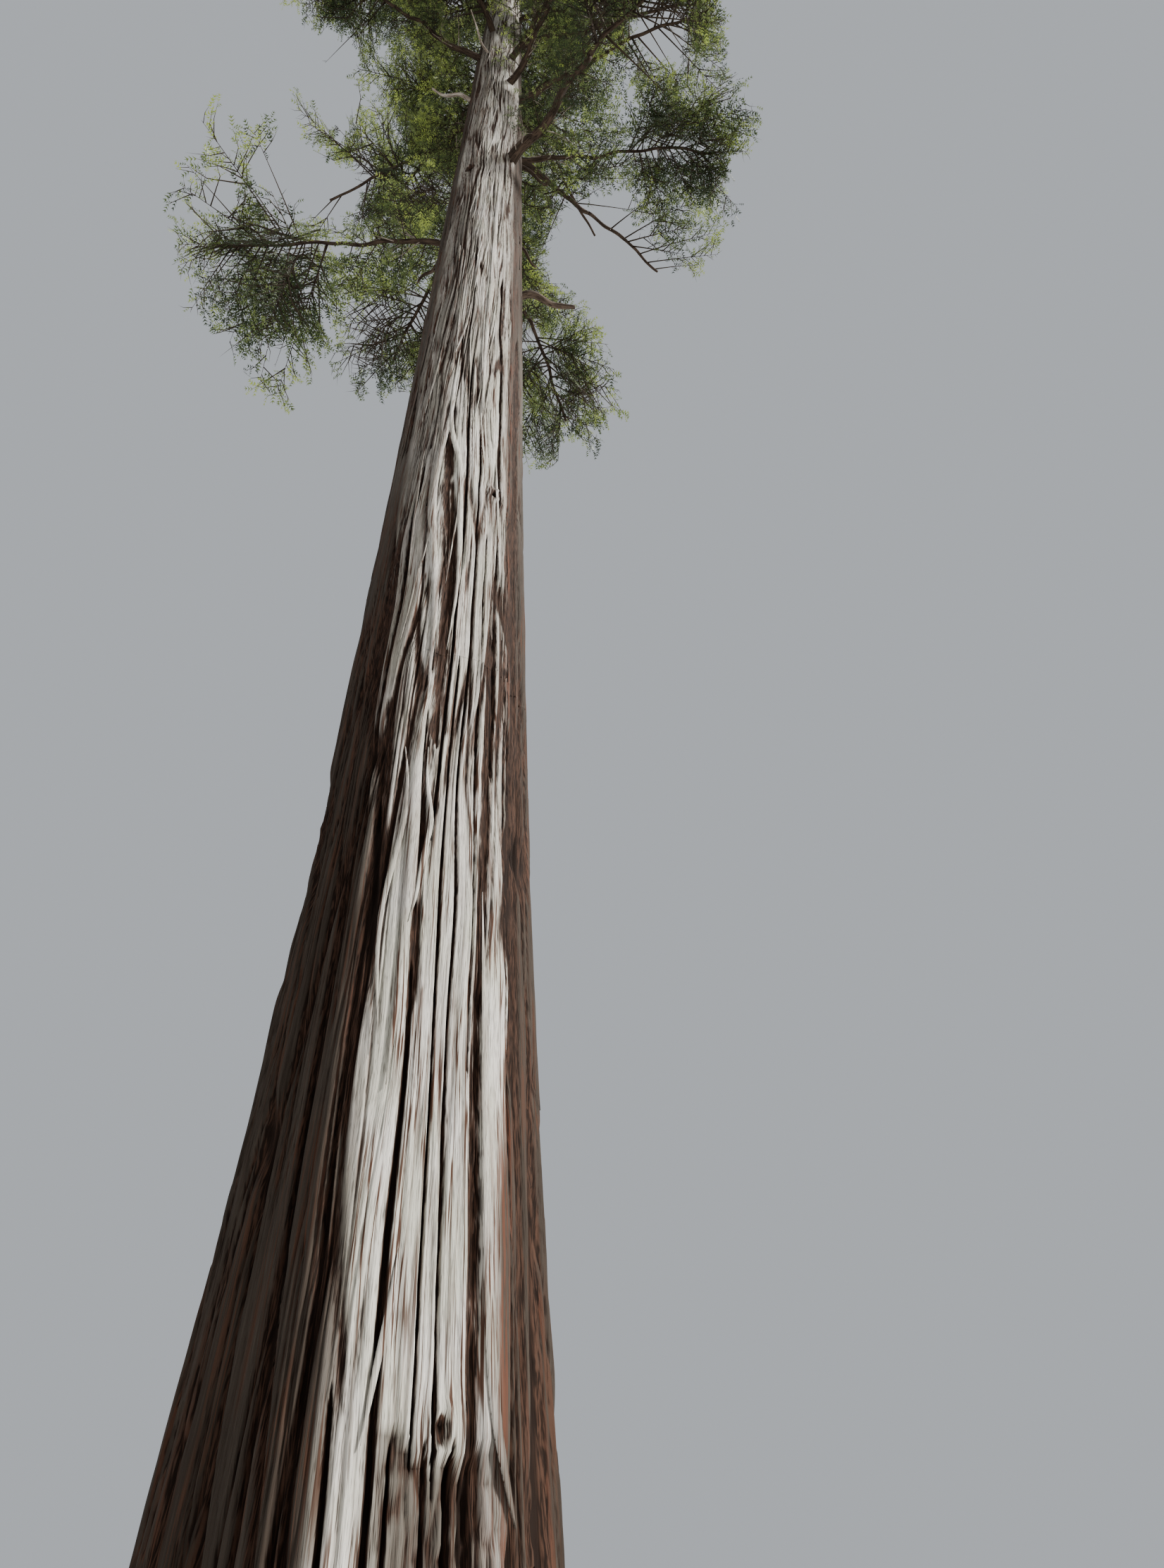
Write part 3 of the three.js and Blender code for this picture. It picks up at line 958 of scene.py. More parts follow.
        # Past the right edge of the silver and painted sunlight lies a red fringe, and beyond it dark brown
        # as painted shade.
        past_edge = np.degrees(angle) - self.right_edge(z)
        fringe = 0.85 * np.exp(-(((past_edge - 5) / 7) ** 2)) * smooth(18, 8, z)
        streak = lattice_noise(turn * 70 / AROUND, z / 1.9, 70, 13)
        # Silver from weathering together with painted sunlight on the front.
        worn_and_sunlit = self.silver_and_sunlight(angle, z) * (0.72 + 0.3 * smoothness + 0.2 * tone + 0.24 * streak * rough)
        ruddy = 0.7 * smooth(0.9, 0.62, height) * smooth(-0.2, 0.5, streak)
        values = {
            "grain": self.grain(flow, z),
            "height": height,
            "tone": 0.5 + 0.22 * tone + 0.28 * streak + 0.2 * block * block_tone,
            "weather": np.clip(worn_and_sunlit, 0, 1) * (1 - 0.86 * block) * (0.4 + 0.6 * smooth(0.5, 0.88, height)),
            "redness": np.clip(fringe + ruddy, 0, 1),
        }
        return lift, values

    @staticmethod
    def grain(flow: np.ndarray, z: np.ndarray) -> np.ndarray:
        """Where the finish reads its streaks: on a straight column that the grain has been laid on."""
        return np.stack([0.6 * np.cos(flow), 0.6 * np.sin(flow), z], -1)

    def silver_and_sunlight(self, angle: np.ndarray, z: np.ndarray) -> np.ndarray:
        """How silver the plates are, by weathering and painted sunlight together: fully on the open side, and
        half in a fringe that widens upwards.

        Formula: the sum of a smooth step at the left edge and one at the fringe's edge, multiplied by a step
        at the right edge. The left and right edges are those of a patch of painted sunlight. A bell curve
        adds the back, a noise adds patches, and another moves the edges.

        Args:
            angle: angles round the trunk.
            z: heights.

        Returns:
            Shares from 0 to 1.
        """
        degrees = np.degrees(angle)
        ragged = 3 * lattice_noise(angle * 60 / AROUND, z / 0.9, 60, 15)
        left = -99 - 4 * np.clip(z - 1.7, 0, 2.3) + ragged
        fringe = left - 30 * smooth(3.5, 8, z) - 0.8 * np.maximum(z - 8, 0)
        patches = lattice_noise(angle * 7 / AROUND, z / 3.5, 7, 12)
        face = 0.55 * smooth(-5, 4, degrees - left) + 0.45 * smooth(-9, 8, degrees - fringe)
        face = face * smooth(6, -4, degrees - self.right_edge(z) + ragged)
        back = np.exp(-(((degrees - 80) / 45) ** 2)) * (0.55 + 0.4 * patches)
        return np.clip(face + back + 0.1 * patches, 0, 1)

    def right_edge(self, z: np.ndarray) -> np.ndarray:
        """The angle in degrees at which the silver and its painted sunlight end on the photograph's right, as
        measured there.
        """
        heights, angles = zip(*self.silver_and_light_end)
        return np.interp(z, heights, angles)

    def blockiness(self, turn: np.ndarray, angle: np.ndarray, z: np.ndarray) -> np.ndarray:
        """Where the bark is broken crosswise: below the knots, on the photograph's side.

        Formula: a flat-topped bell curve of the angle, cut off at a height that a noise moves.

        Args:
            turn: angles along the grain.
            angle: angles round the trunk.
            z: heights.

        Returns:
            Shares from 0 to 1.
        """
        away = (np.degrees(angle) + 71) / 19
        edge = 2.04 + 0.1 * lattice_noise(turn * 46 / AROUND, z / 0.6, 46, 14)
        return np.exp(-(away**6)) * smooth(edge + 0.03, edge - 0.03, z)

    def build(self, material: bpy.types.Material) -> None:
        """Builds each log.

        Formula: columns stand closer on the photograph's side, by an angle u less a share of the sine of
        its distance from there, and rows are level. Each log laps over the one below, with its first
        rows at the heights of the other's last ones.

        Args:
            material: the bark's finish.
        """
        for log in self.logs:
            u = np.linspace(-math.pi, math.pi, log.columns, endpoint=False)
            angles = u - self.crowding * np.sin(u - FRONT)
            heights = np.linspace(log.low, log.high, log.rows + 1)
            heights = np.unique(np.concatenate([heights, [max(0, log.low - self.lap), log.high - self.lap]]))
            z, angle = np.meshgrid(heights, angles, indexing="ij")
            lift, values = self.relief(angle, z)
            lift = np.maximum(lift, -0.6 * self.form.radius(z))
            shape = tube_shape(self.form.surface(angle, z, lift), values)
            shape.piece(log.name, material, "bark", ["trunk"])


@dataclass(frozen=True)
class Ribbon:
    """A peeled strip: its width, its angles in degrees and heights from the top down, and its curl."""

    width: float
    angles: tuple[float, ...]
    heights: tuple[float, ...]
    curl: float = 0.012


@dataclass
class BarkStrips:
    """Peeled strips of bark: flat ribbons that lean across plates and furrows, with pointed ends."""

    bark: TrunkBark
    count: int = 170
    rows: int = 21
    thickness: float = 0.005
    placed: tuple[Ribbon, ...] = (
        Ribbon(0.04, (-60, -58.5, -57, -55.5, -52, -50), (4.6, 3.6, 2.6, 2.15, 1.93, 1.8), 0.014),
        Ribbon(0.026, (-85.5, -87.0, -89.6, -91.5), (2.75, 2.5, 2.25, 2.02), 0.006),
        Ribbon(0.06, (-101, -103, -110, -109, -102, -97, -96), (10.2, 9.6, 8.9, 8.2, 7.5, 7, 6)),
        Ribbon(0.062, (-95.5, -97.5, -97.8, -96, -94.5, -94.5, -95.2), (6.3, 5.8, 5.4, 5, 4.5, 4, 3.4)),
        Ribbon(0.028, (-105, -100.7, -100, -103, -105.6, -104.8, -99.5), (5.6, 5.3, 5, 4.7, 4.4, 4.1, 3.6)),
        Ribbon(0.026, (-92.9, -91.9, -86.9, -89.7, -91.1, -93.5), (5.6, 5.3, 5, 4.8, 4.5, 4.3)),
        Ribbon(0.045, (-102, -104, -99.8, -89.6, -88, -83, -88), (11, 9.8, 9.3, 8.9, 8.2, 7.4, 6.5)),
        Ribbon(0.05, (-72, -75, -73.5, -77, -76), (16.5, 14.6, 13, 11.4, 9.8)),
    )

    def scattered(self) -> list[Ribbon]:
        """Strips by chance: most on the photograph's side, and most lean to the left on the way down.

        Formula: a strip's angle goes by a lean times the share to the power of 1.5, with a bow that is
        a sine of the share. Its length, width and lean go with the trunk's radius.

        Returns:
            The strips.
        """
        chance = np.random.default_rng(61)
        ribbons = []
        for i in range(self.count):
            is_seen = i % 2 == 0
            middle = chance.normal(-88, 20) if is_seen else chance.uniform(-35, 215)
            top = chance.uniform(7.5 if is_seen else 1.6, 24)
            radius = float(self.bark.form.radius(top))
            length = chance.uniform(0.5, 2.4) * (0.55 + 0.5 * radius)
            lean = chance.uniform(-0.075, 0.04) * length / radius
            share = np.linspace(0, 1, 5)
            bow = chance.uniform(-0.25, 0.25) * lean * np.sin(math.pi * share)
            angles = middle + np.degrees(lean * share**1.5 + bow)
            width = chance.uniform(0.009, 0.026) * (0.55 + 0.6 * radius)
            curl = chance.uniform(0, 0.018) * math.exp(-(((middle + 88) / 30) ** 4))
            ribbons.append(Ribbon(width, tuple(angles), tuple(top - length * share), curl))
        return ribbons

    def ribbon(self, ribbon: Ribbon, seed: int) -> Shape:
        """One strip.

        Formula: its middle runs smoothly through its places, just over the plates. It bows outwards as a
        sine of the way down, and its lower end curls out by the fourth power. It tapers to both ends.

        Args:
            ribbon: the strip.
            seed: which tone it has.

        Returns:
            A closed flat tube with the bark's values.
        """
        share = np.linspace(0, 1, self.rows)
        places = np.linspace(0, 1, len(ribbon.angles))
        angle = np.radians(np.interp(share, places, ribbon.angles))
        z = np.interp(share, places, ribbon.heights)
        soft = np.array([0.25, 0.5, 0.25])
        for _ in range(3):
            angle[1:-1] = np.convolve(angle, soft, "valid")
            z[1:-1] = np.convolve(z, soft, "valid")
        form = self.bark.form
        radius = form.radius(z)
        lift = self.bark.depth * (0.35 + radius) * (0.27 * smooth(0, 0.15, share) - 0.06)
        lift = lift + 0.4 * ribbon.curl * np.sin(math.pi * share) + ribbon.curl * share**4
        half = ribbon.width / 2 * np.sin(math.pi * (0.008 + 0.985 * share)) ** 0.75
        across = np.array([1, 1, 0, -1, -1]) * half[:, None]
        thick = np.array([-0.5, 0.5, 0.9, 0.5, -0.5]) * self.thickness
        turned = angle[:, None] + across / radius[:, None]
        level = z[:, None] + 0 * across
        rings = form.surface(turned, level, lift[:, None] + thick)
        tone = np.random.default_rng(seed).uniform(0.2, 0.9)
        flow = self.bark.flow(turned, level)
        # The strips take the silver and painted sunlight of the bark under them.
        face = self.bark.silver_and_sunlight(turned, level)
        values = {
            "grain": self.bark.grain(flow, level),
            "height": np.full(level.shape, 1.0) - 0.3 * np.array([1, 0, 0, 0, 1]),
            "tone": np.full(level.shape, tone),
            "weather": np.clip(face * (0.75 + 0.4 * tone) + 0.05, 0, 1),
            "redness": np.full(level.shape, 0.25 * (1 - tone)),
        }
        return tube_shape(rings, values)

    def build(self, material: bpy.types.Material) -> None:
        """Builds all strips as one piece.

        Args:
            material: the bark's finish.
        """
        ribbons = list(self.placed) + self.scattered()
        shape = Shape.joined([self.ribbon(ribbon, 900 + i) for i, ribbon in enumerate(ribbons)])
        shape.piece("bark_strips", material, "bark", ["trunk"])


@dataclass(frozen=True)
class Bough:
    """A live bough: its height on the trunk, heading, bare length, rise in degrees and radius."""

    name: str
    height: float
    heading: float
    length: float
    rise: float
    radius: float

    def start(self, form: TrunkForm) -> tuple[np.ndarray, np.ndarray, float]:
        """Where it starts.

        Args:
            form: the trunk's form.

        Returns:
            Its root inside the trunk, its level way out, and how far it runs.
        """
        out = heading_vector(self.heading)
        radius = float(form.radius(self.height))
        return form.centre(self.height) + out * radius * 0.6, out, self.length + radius * 0.4

    def curve(self, form: TrunkForm) -> Curve:
        """The source's curve: it leaves the trunk level, then rises more and more.

        Args:
            form: the trunk's form.

        Returns:
            The curve.
        """
        root, out, run = self.start(form)
        climb = run * math.tan(math.radians(self.rise))
        steps = ((0, 0), (0.35, 0.15), (0.7, 0.45), (1, 1))
        return Curve(np.array([root + out * run * ahead + UP * climb * up for ahead, up in steps]))

    def way(self, form: TrunkForm) -> Way:
        """The bough's middle, as it wanders."""
        return Way(self.curve(form), 3000 + round(100 * self.height), 0.07)

    def radius_at(self, share: np.ndarray) -> np.ndarray:
        """An even taper, with a collar at the trunk."""
        return self.radius * (1 - 0.45 * share + 0.5 * np.exp(-7 * share))


@dataclass(frozen=True)
class Stub(Bough):
    """A dead stub: as a bough, with the share of its length by which its tip turns up."""

    bend: float = 0.0

    def curve(self, form: TrunkForm) -> Curve:
        """The source's curve: straight out, then bent up or down.

        Args:
            form: the trunk's form.

        Returns:
            The curve.
        """
        root, out, run = self.start(form)
        along = unit(out + UP * math.tan(math.radians(self.rise)))
        end = root + along * run + UP * self.bend * self.length
        return Curve(np.array([root, root + along * run * 0.6, end]))

    def way(self, form: TrunkForm) -> Way:
        """The stub's middle, as it wanders."""
        return Way(self.curve(form), 400 + round(9 * self.height), 0.06)

    @property
    def is_silver(self) -> bool:
        """Whether the stub has lost its bark."""
        return "silver" in self.name

    def radius_at(self, share: np.ndarray) -> np.ndarray:
        """An even taper to a broken end."""
        return self.radius * (1 - 0.6 * share)


SEEN_BOUGHS = (
    Bough("left_low", 15.0, 277, 1.15, 2, 0.034),
    Bough("right_low", 17.3, 142, 1.45, 24, 0.066),
    Bough("right_thin", 18.3, 100, 1.35, 8, 0.036),
    Bough("left_mid", 20.3, 300, 0.95, -8, 0.042),
    Bough("right_mid", 20.85, 120, 1.5, 14, 0.056),
    Bough("front_mid", 20.95, 155, 1.35, 18, 0.052),
    Bough("front_high", 22.6, 150, 1.25, 24, 0.05),
    Bough("left_high", 23.25, 251, 1.5, 6, 0.048),
    Bough("right_high", 24.7, 109, 1.9, 12, 0.058),
)
HIDDEN_BOUGHS = (
    Bough("back_low", 16.5, 28, 1.3, 6, 0.044),
    Bough("back_left", 17.9, 338, 1.25, 2, 0.046),
    Bough("back_right", 19.2, 62, 1.35, 8, 0.05),
    Bough("back_mid", 20.7, 12, 1.3, 10, 0.05),
    Bough("back_high", 22.7, 42, 1.35, 12, 0.052),
    Bough("left_back", 22.4, 322, 1.25, 8, 0.048),
)
STUBS = (
    Stub("stub_right", 13.7, 87, 0.62, 6, 0.056, -0.08),
    Stub("stub_small", 15.75, 66, 0.33, -25, 0.028, -0.25),
    Stub("stub_droop", 18.45, 76, 0.43, 5, 0.038, -0.4),
    Stub("stub_silver", 20.75, 262, 0.58, -4, 0.04, 0.3),
    Stub("stub_hanging", 15.45, 300, 0.52, -35, 0.034, -0.5),
    Stub("snag_silver", 22.8, 214, 0.62, 20, 0.022, 0.35),
)


@dataclass(frozen=True)
class Mass:
    """A mass of foliage: the egg shape that is its space, and where its stem starts."""

    name: str
    out: np.ndarray
    centre: np.ndarray
    semi: np.ndarray
    start: np.ndarray
    direction: np.ndarray
    radius: float
    seed: int
    on_trunk: bool

    @property
    def side(self) -> np.ndarray:
        """The level way across the mass."""
        return np.cross(UP, self.out)

    def stem(self) -> Curve:
        """The source's stem: out through the middle of the space, with a tip that droops.

        Returns:
            The curve.
        """
        far = self.centre + self.out * self.semi[0] * 0.5 - UP * self.semi[2] * 0.12
        bend = np.linalg.norm(far - self.start) * 0.45
        return Curve(np.array([self.start, self.start + self.direction * bend, far]))

    def way(self) -> Way:
        """The stem's middle, as it wanders."""
        return Way(self.stem(), self.seed, 0.035)

    def stem_radius(self, share: np.ndarray) -> np.ndarray:
        """The stem's even taper to 18 mm."""
        return self.radius + (0.018 - self.radius) * share

    def egg(self, points: np.ndarray) -> np.ndarray:
        """How far points are from the middle of the space.

        Formula: the way from the middle is taken apart into out, across and up, and each part is
        divided by the half axis.

        Args:
            points: points in the last axis.

        Returns:
            Distances, with the egg shape's edge at 1.
        """
        away = points - self.centre
        local = np.stack([away @ self.out, away @ self.side, away[..., 2]], -1) / self.semi
        return np.linalg.norm(local, axis=-1)


@dataclass(frozen=True)
class CrownGap:
    """A gap in the crown, as the photograph shows it: its way from the eye, and half its width in degrees."""

    way: tuple[float, float, float]
    half: float

    def share(self, seen: np.ndarray) -> np.ndarray:
        """How far ways from the eye are from the gap's middle, with its edge at 1."""
        apart = np.degrees(np.arccos(np.clip(seen @ unit(np.array(self.way)), -1, 1)))
        return apart / self.half


CROWN_GAPS = (
    CrownGap((-0.085, 0.294, 0.952), 1.5),
    CrownGap((-0.057, 0.308, 0.950), 1.2),
    CrownGap((-0.065, 0.223, 0.973), 1.0),
    CrownGap((-0.060, 0.252, 0.966), 1.0),
    CrownGap((0.142, 0.306, 0.941), 2.0),
    CrownGap((0.163, 0.336, 0.928), 2.0),
    CrownGap((0.123, 0.324, 0.938), 1.3),
    CrownGap((0.192, 0.365, 0.911), 2.2),
    CrownGap((0.211, 0.398, 0.893), 2.1),
    CrownGap((0.165, 0.177, 0.970), 1.1),
    CrownGap((-0.092, 0.226, 0.970), 0.9),
)


class Room:
    """The room for foliage: clear of the trunk, inside the source's box, and out of the crown's gaps."""

    clearance: float = 0.05
    margin: float = 0.02

    def __init__(self, form: TrunkForm) -> None:
        """Keeps the trunk's form."""
        self.form = form

    def has_room(self, points: np.ndarray) -> np.ndarray:
        """Whether points lie in the room.

        Args:
            points: points in the last axis.

        Returns:
            Truth values in the shape of the other axes.
        """
        away = np.linalg.norm(points - self.form.centre(points[..., 2]), axis=-1)
        clear = away > self.form.radius(points[..., 2]) + self.clearance
        low, high = (np.array(corner) for corner in CAD_BOX)
        inside = (points > low + self.margin) & (points < high - self.margin)
        return clear & inside.all(-1) & ~self.is_open(points)

    def is_open(self, points: np.ndarray) -> np.ndarray:
        """Whether points lie in one of the crown's gaps.

        Formula: the angle from the gap's middle, seen from the eye and divided by half the gap's width,
        is under 1. Two clouds are added to it, so that the rim is ragged.

        Args:
            points: points in the last axis.

        Returns:
            Truth values in the shape of the other axes.
        """
        seen = unit(points - EYE)
        ragged = 0.5 * cloud(points, 0.35, 98) + 0.4 * cloud(points, 0.07, 95)
        return np.any([gap.share(seen) + ragged < 1 for gap in CROWN_GAPS], axis=0)

    def is_thin(self, points: np.ndarray) -> np.ndarray:
        """Whether sprays are left out at points: where a cloud over the ways from the eye is high."""
        seen = unit(points - EYE)
        return cloud(seen, 0.02, 105) + 0.5 * cloud(points, 0.07, 95) > 0.7


class Space(Room):
    """A mass's own space: its egg shape, cut by the planes that divide it from the other masses."""

    seam: float = 0.004

    def __init__(self, mass: Mass, masses: Sequence[Mass], form: TrunkForm) -> None:
        """Works out the planes.

        Formula: a plane stands square to the line between two centres, where the squares of the
        distances to them differ as the squares of the masses' half heights do.

        Args:
            mass: the mass.
            masses: all masses, this one among them.
            form: the trunk's form.
        """
        super().__init__(form)
        others = [other for other in masses if other is not mass]
        between = np.array([other.centre - mass.centre for other in others])
        far = np.linalg.norm(between, axis=1)
        heights = np.array([other.semi[2] for other in others])
        share = 0.5 + (mass.semi[2] ** 2 - heights**2) / (2 * far**2)
        self.mass = mass
        self.normals = between / far[:, None]
        self.limits = share * far - self.seam

    def holds(self, points: np.ndarray, size: float = 1.0) -> np.ndarray:
        """Whether points lie in the egg shape, at a size of it, and on the mass's side of every plane."""
        beyond = (points - self.mass.centre) @ self.normals.T > self.limits
        return (self.mass.egg(points) < size) & ~beyond.any(-1)

    def has_room(self, points: np.ndarray) -> np.ndarray:
        """Whether points lie in the room and in the space, with a ragged rim and small gaps.

        Formula: the rim lies at a size of the egg shape that a cloud moves between 0.7 and 1.1, and the
        gaps lie where a finer cloud is high.

        Args:
            points: points in the last axis.

        Returns:
            Truth values in the shape of the other axes.
        """
        ragged = self.mass.egg(points) < 1.1 - 0.4 * smooth(-0.4, 0.6, cloud(points, 0.4, 71))
        gap = cloud(points, 0.23, 81) > 0.55
        return super().has_room(points) & self.holds(points, 1.1) & ragged & ~gap


@dataclass(frozen=True)
class CrownPlan:
    """The crown by the source's rule: which masses there are, and where."""

    form: TrunkForm
    foot: float = 14.0
    reach: float = 3.35
    tip_reach: float = 0.15
    upper_foot: float = 24.4
    upper_count: int = 23

    def reach_at(self, z: float) -> float:
        """How far the crown reaches from the trunk's middle at a height."""
        share = max(0.0, (z - self.foot) / (self.form.height - self.foot))
        return self.reach * (1 - share**3) + self.tip_reach

    def on_bough(self, bough: Bough, seed: int) -> Mass:
        """The mass that grows from a bough's tip.

        Formula: its depth is a share of the crown's reach, or of what the reach leaves beyond the tip
        where that is more. Its middle lies about half the depth beyond the tip.

        Args:
            bough: the bough.
            seed: its chance.

        Returns:
            The mass, whose space reaches on to the crown's edge.
        """
        curve = bough.curve(self.form)
        tip = curve.points(np.array([1.0]))[0]
        out = heading_vector(bough.heading)
        reach = self.reach_at(bough.height)
        depth = max(0.37 * reach, 0.62 * (reach - (tip - self.form.centre(tip[2])) @ out))
        return Mass(
            name="foliage_" + bough.name,
            out=out,
            centre=tip + (out * 0.55 - UP * 0.05) * depth,
            semi=np.array([1, 1.45, 1]) * depth,
            start=tip,
            direction=curve.tangents(np.array([1.0]))[0],
            radius=bough.radius * 0.55,
            seed=seed,
            on_trunk=False,
        )

    def upper(self) -> list[Mass]:
        """The masses that wind up the trunk.

        Formula: each stands a golden angle on from the one below, and higher by a share of that one's
        reach and 13 cm. Its middle and half axes go with the crown's reach there.

        Returns:
            The masses, from the lowest up. Each starts in the trunk.
        """
        chance = Chance(4021)
        masses = []
        height = self.upper_foot
        for i in range(self.upper_count):
            reach = self.reach_at(height) * chance.between(0.9, 1.08)
            out = heading_vector((200 + GOLDEN_ANGLE * i + chance.between(-12, 12)) % 360)
            rise = 0.1 + 0.5 * (height / self.form.height) ** 6
            radius = float(self.form.radius(height))
            middle = self.form.centre(height)
            masses.append(
                Mass(
                    name=f"foliage_upper_{i + 1:02d}",
                    out=out,
                    centre=middle + (out * 0.54 + UP * rise) * reach,
                    semi=np.array([0.52 * reach, 0.8 * reach, 0.5 * reach + 0.2]),
                    start=middle + out * radius * 0.6,
                    direction=unit(out + UP * rise * 0.6),
                    radius=max(0.016, 0.16 * radius),
                    seed=700 + 31 * i,
                    on_trunk=True,
                )
            )
            height += reach * 0.29 + 0.13
        return masses

    def masses(self) -> list[Mass]:
        """All masses, in the source's order."""
        boughs = SEEN_BOUGHS + HIDDEN_BOUGHS
        return [self.on_bough(bough, 101 + 17 * i) for i, bough in enumerate(boughs)] + self.upper()


@dataclass
class Limbs:
    """Boughs, stems and stubs with their bark: tubes that wander and are ridged along their length."""

    form: TrunkForm
    sides: int = 24
    rows: int = 44
    twigs: int = 5
    twig_radius: float = 0.009

    def limb(self, way: Way, radius_at: Taper, seed: int, sides: int = 0, rows: int = 0) -> Shape:
        """One limb.

        Formula: rings stand about the limb's middle. Each ring's radius swells and shrinks by noise
        round the limb and along it.

        Args:
            way: the limb's middle.
            radius_at: its radius at shares of its length.
            seed: which noise.
            sides: points in a ring, or 0 for the usual number.
            rows: bands along the limb, or 0 for the usual number.

        Returns:
            A closed tube with its grain.
        """
        sides, rows = sides or self.sides, rows or self.rows
        share = np.linspace(0, 1, rows + 1)
        middle = way.points(share)
        tangent = unit(np.gradient(middle, axis=0))
        side = unit(np.cross(tangent, UP))
        top = np.cross(tangent, side)
        turn = np.linspace(0, AROUND, sides, endpoint=False)
        along, around = np.meshgrid(share * way.curve.length(), turn, indexing="ij")
        radius = radius_at(share)[:, None]
        ridges = lattice_noise(around * 9 / AROUND, along / 0.16, 9, seed)
        lumps = lattice_noise(around * 4 / AROUND, along / 0.11, 4, seed + 1)
        thick = radius * (1 + 0.09 * ridges + 0.1 * lumps)
        ring = side[:, None] * np.cos(around)[..., None] + top[:, None] * np.sin(around)[..., None]
        grain = np.stack([radius * np.cos(around), radius * np.sin(around), along], -1)
        return tube_shape(middle[:, None] + ring * thick[..., None], {"grain": grain})

    def dead_twigs(self, bough: Bough, seed: int) -> list[Shape]:
        """Bare silver twigs on a bough, each with two finer ones.

        Formula: each is a curve of three controls that starts along its way and sags or rises by chance.
        The finer ones start at 0.4 and 0.65 of the twig.

        Args:
            bough: the bough.
            seed: which chance.

        Returns:
            A closed tube for each twig.
        """
        chance = np.random.default_rng(seed)
        shapes = []
        for share in chance.uniform(0.12, 0.6, self.twigs):
            root = bough.way(self.form).points(np.array([share]))[0]
            along = unit(heading_vector(bough.heading) + chance.uniform(-1, 1, 3) * (1, 1, 0.8))
            length = chance.uniform(0.25, 0.55)
            for part, size in ((0.0, 1.0), (0.4, 0.5), (0.65, 0.4)):
                start = root + along * length * part
                toward = unit(along + (part > 0) * chance.uniform(-0.8, 0.8, 3))
                sag = chance.uniform(-0.25, 0.1) * UP
                reach = length * size
                controls = [start, start + toward * reach * 0.5, start + (toward + sag) * reach]
                thick = self.twig_radius * size
                way = Way(Curve(np.array(controls)), len(shapes) + seed, 0.04 * size)
                shapes.append(self.limb(way, lambda s, r=thick: r * (1 - 0.8 * s), seed, 5, 9))
        return shapes

    def build(self, masses: Sequence[Mass]) -> None:
        """Builds the boughs, the stems in the masses, the dead stubs and the dead twigs.

        Args:
            masses: the masses of foliage.
        """
        live = Wood.LIVE.value.material()
        silver = Wood.SILVER.value.material()
        boughs = SEEN_BOUGHS + HIDDEN_BOUGHS
        shapes = [self.limb(b.way(self.form), b.radius_at, 40 + 7 * i) for i, b in enumerate(boughs)]
        names = ["bough_" + b.name for b in boughs]
        Shape.joined(shapes).piece("boughs", live, "limb_bark", names)
        shapes = [self.limb(m.way(), m.stem_radius, m.seed, 12, 24) for m in masses]
        Shape.joined(shapes).piece("foliage_stems", live, "limb_bark", [m.name for m in masses])
        for name, finish in (("dark_stubs", Wood.DARK.value.material()), ("silver_stubs", silver)):
            stubs = [stub for stub in STUBS if stub.is_silver == (finish is silver)]
            ways = [stub.way(self.form) for stub in stubs]
            shapes = [self.limb(way, stub.radius_at, way.seed) for way, stub in zip(ways, stubs)]
            Shape.joined(shapes).piece(name, finish, "dead_wood", [stub.name for stub in stubs])
        shapes = [twig for i, b in enumerate(boughs) for twig in self.dead_twigs(b, 500 + 60 * i)]
        Shape.joined(shapes).piece("dead_twigs", silver, "dead_wood", names)


@dataclass(frozen=True)
class Stalk:
    """A frond's main twig: its root, its way, the way across the frond, and its length and radius."""

    root: np.ndarray
    along: np.ndarray
    across: np.ndarray
    length: float
    radius: float

    @staticmethod
    def across_way(along: np.ndarray, tilt: float) -> np.ndarray:
        """The way across a frond: level, then turned about the main twig by a tilt in radians."""
        level = unit(np.cross(UP, along))
        return level * math.cos(tilt) + np.cross(along, level) * math.sin(tilt)


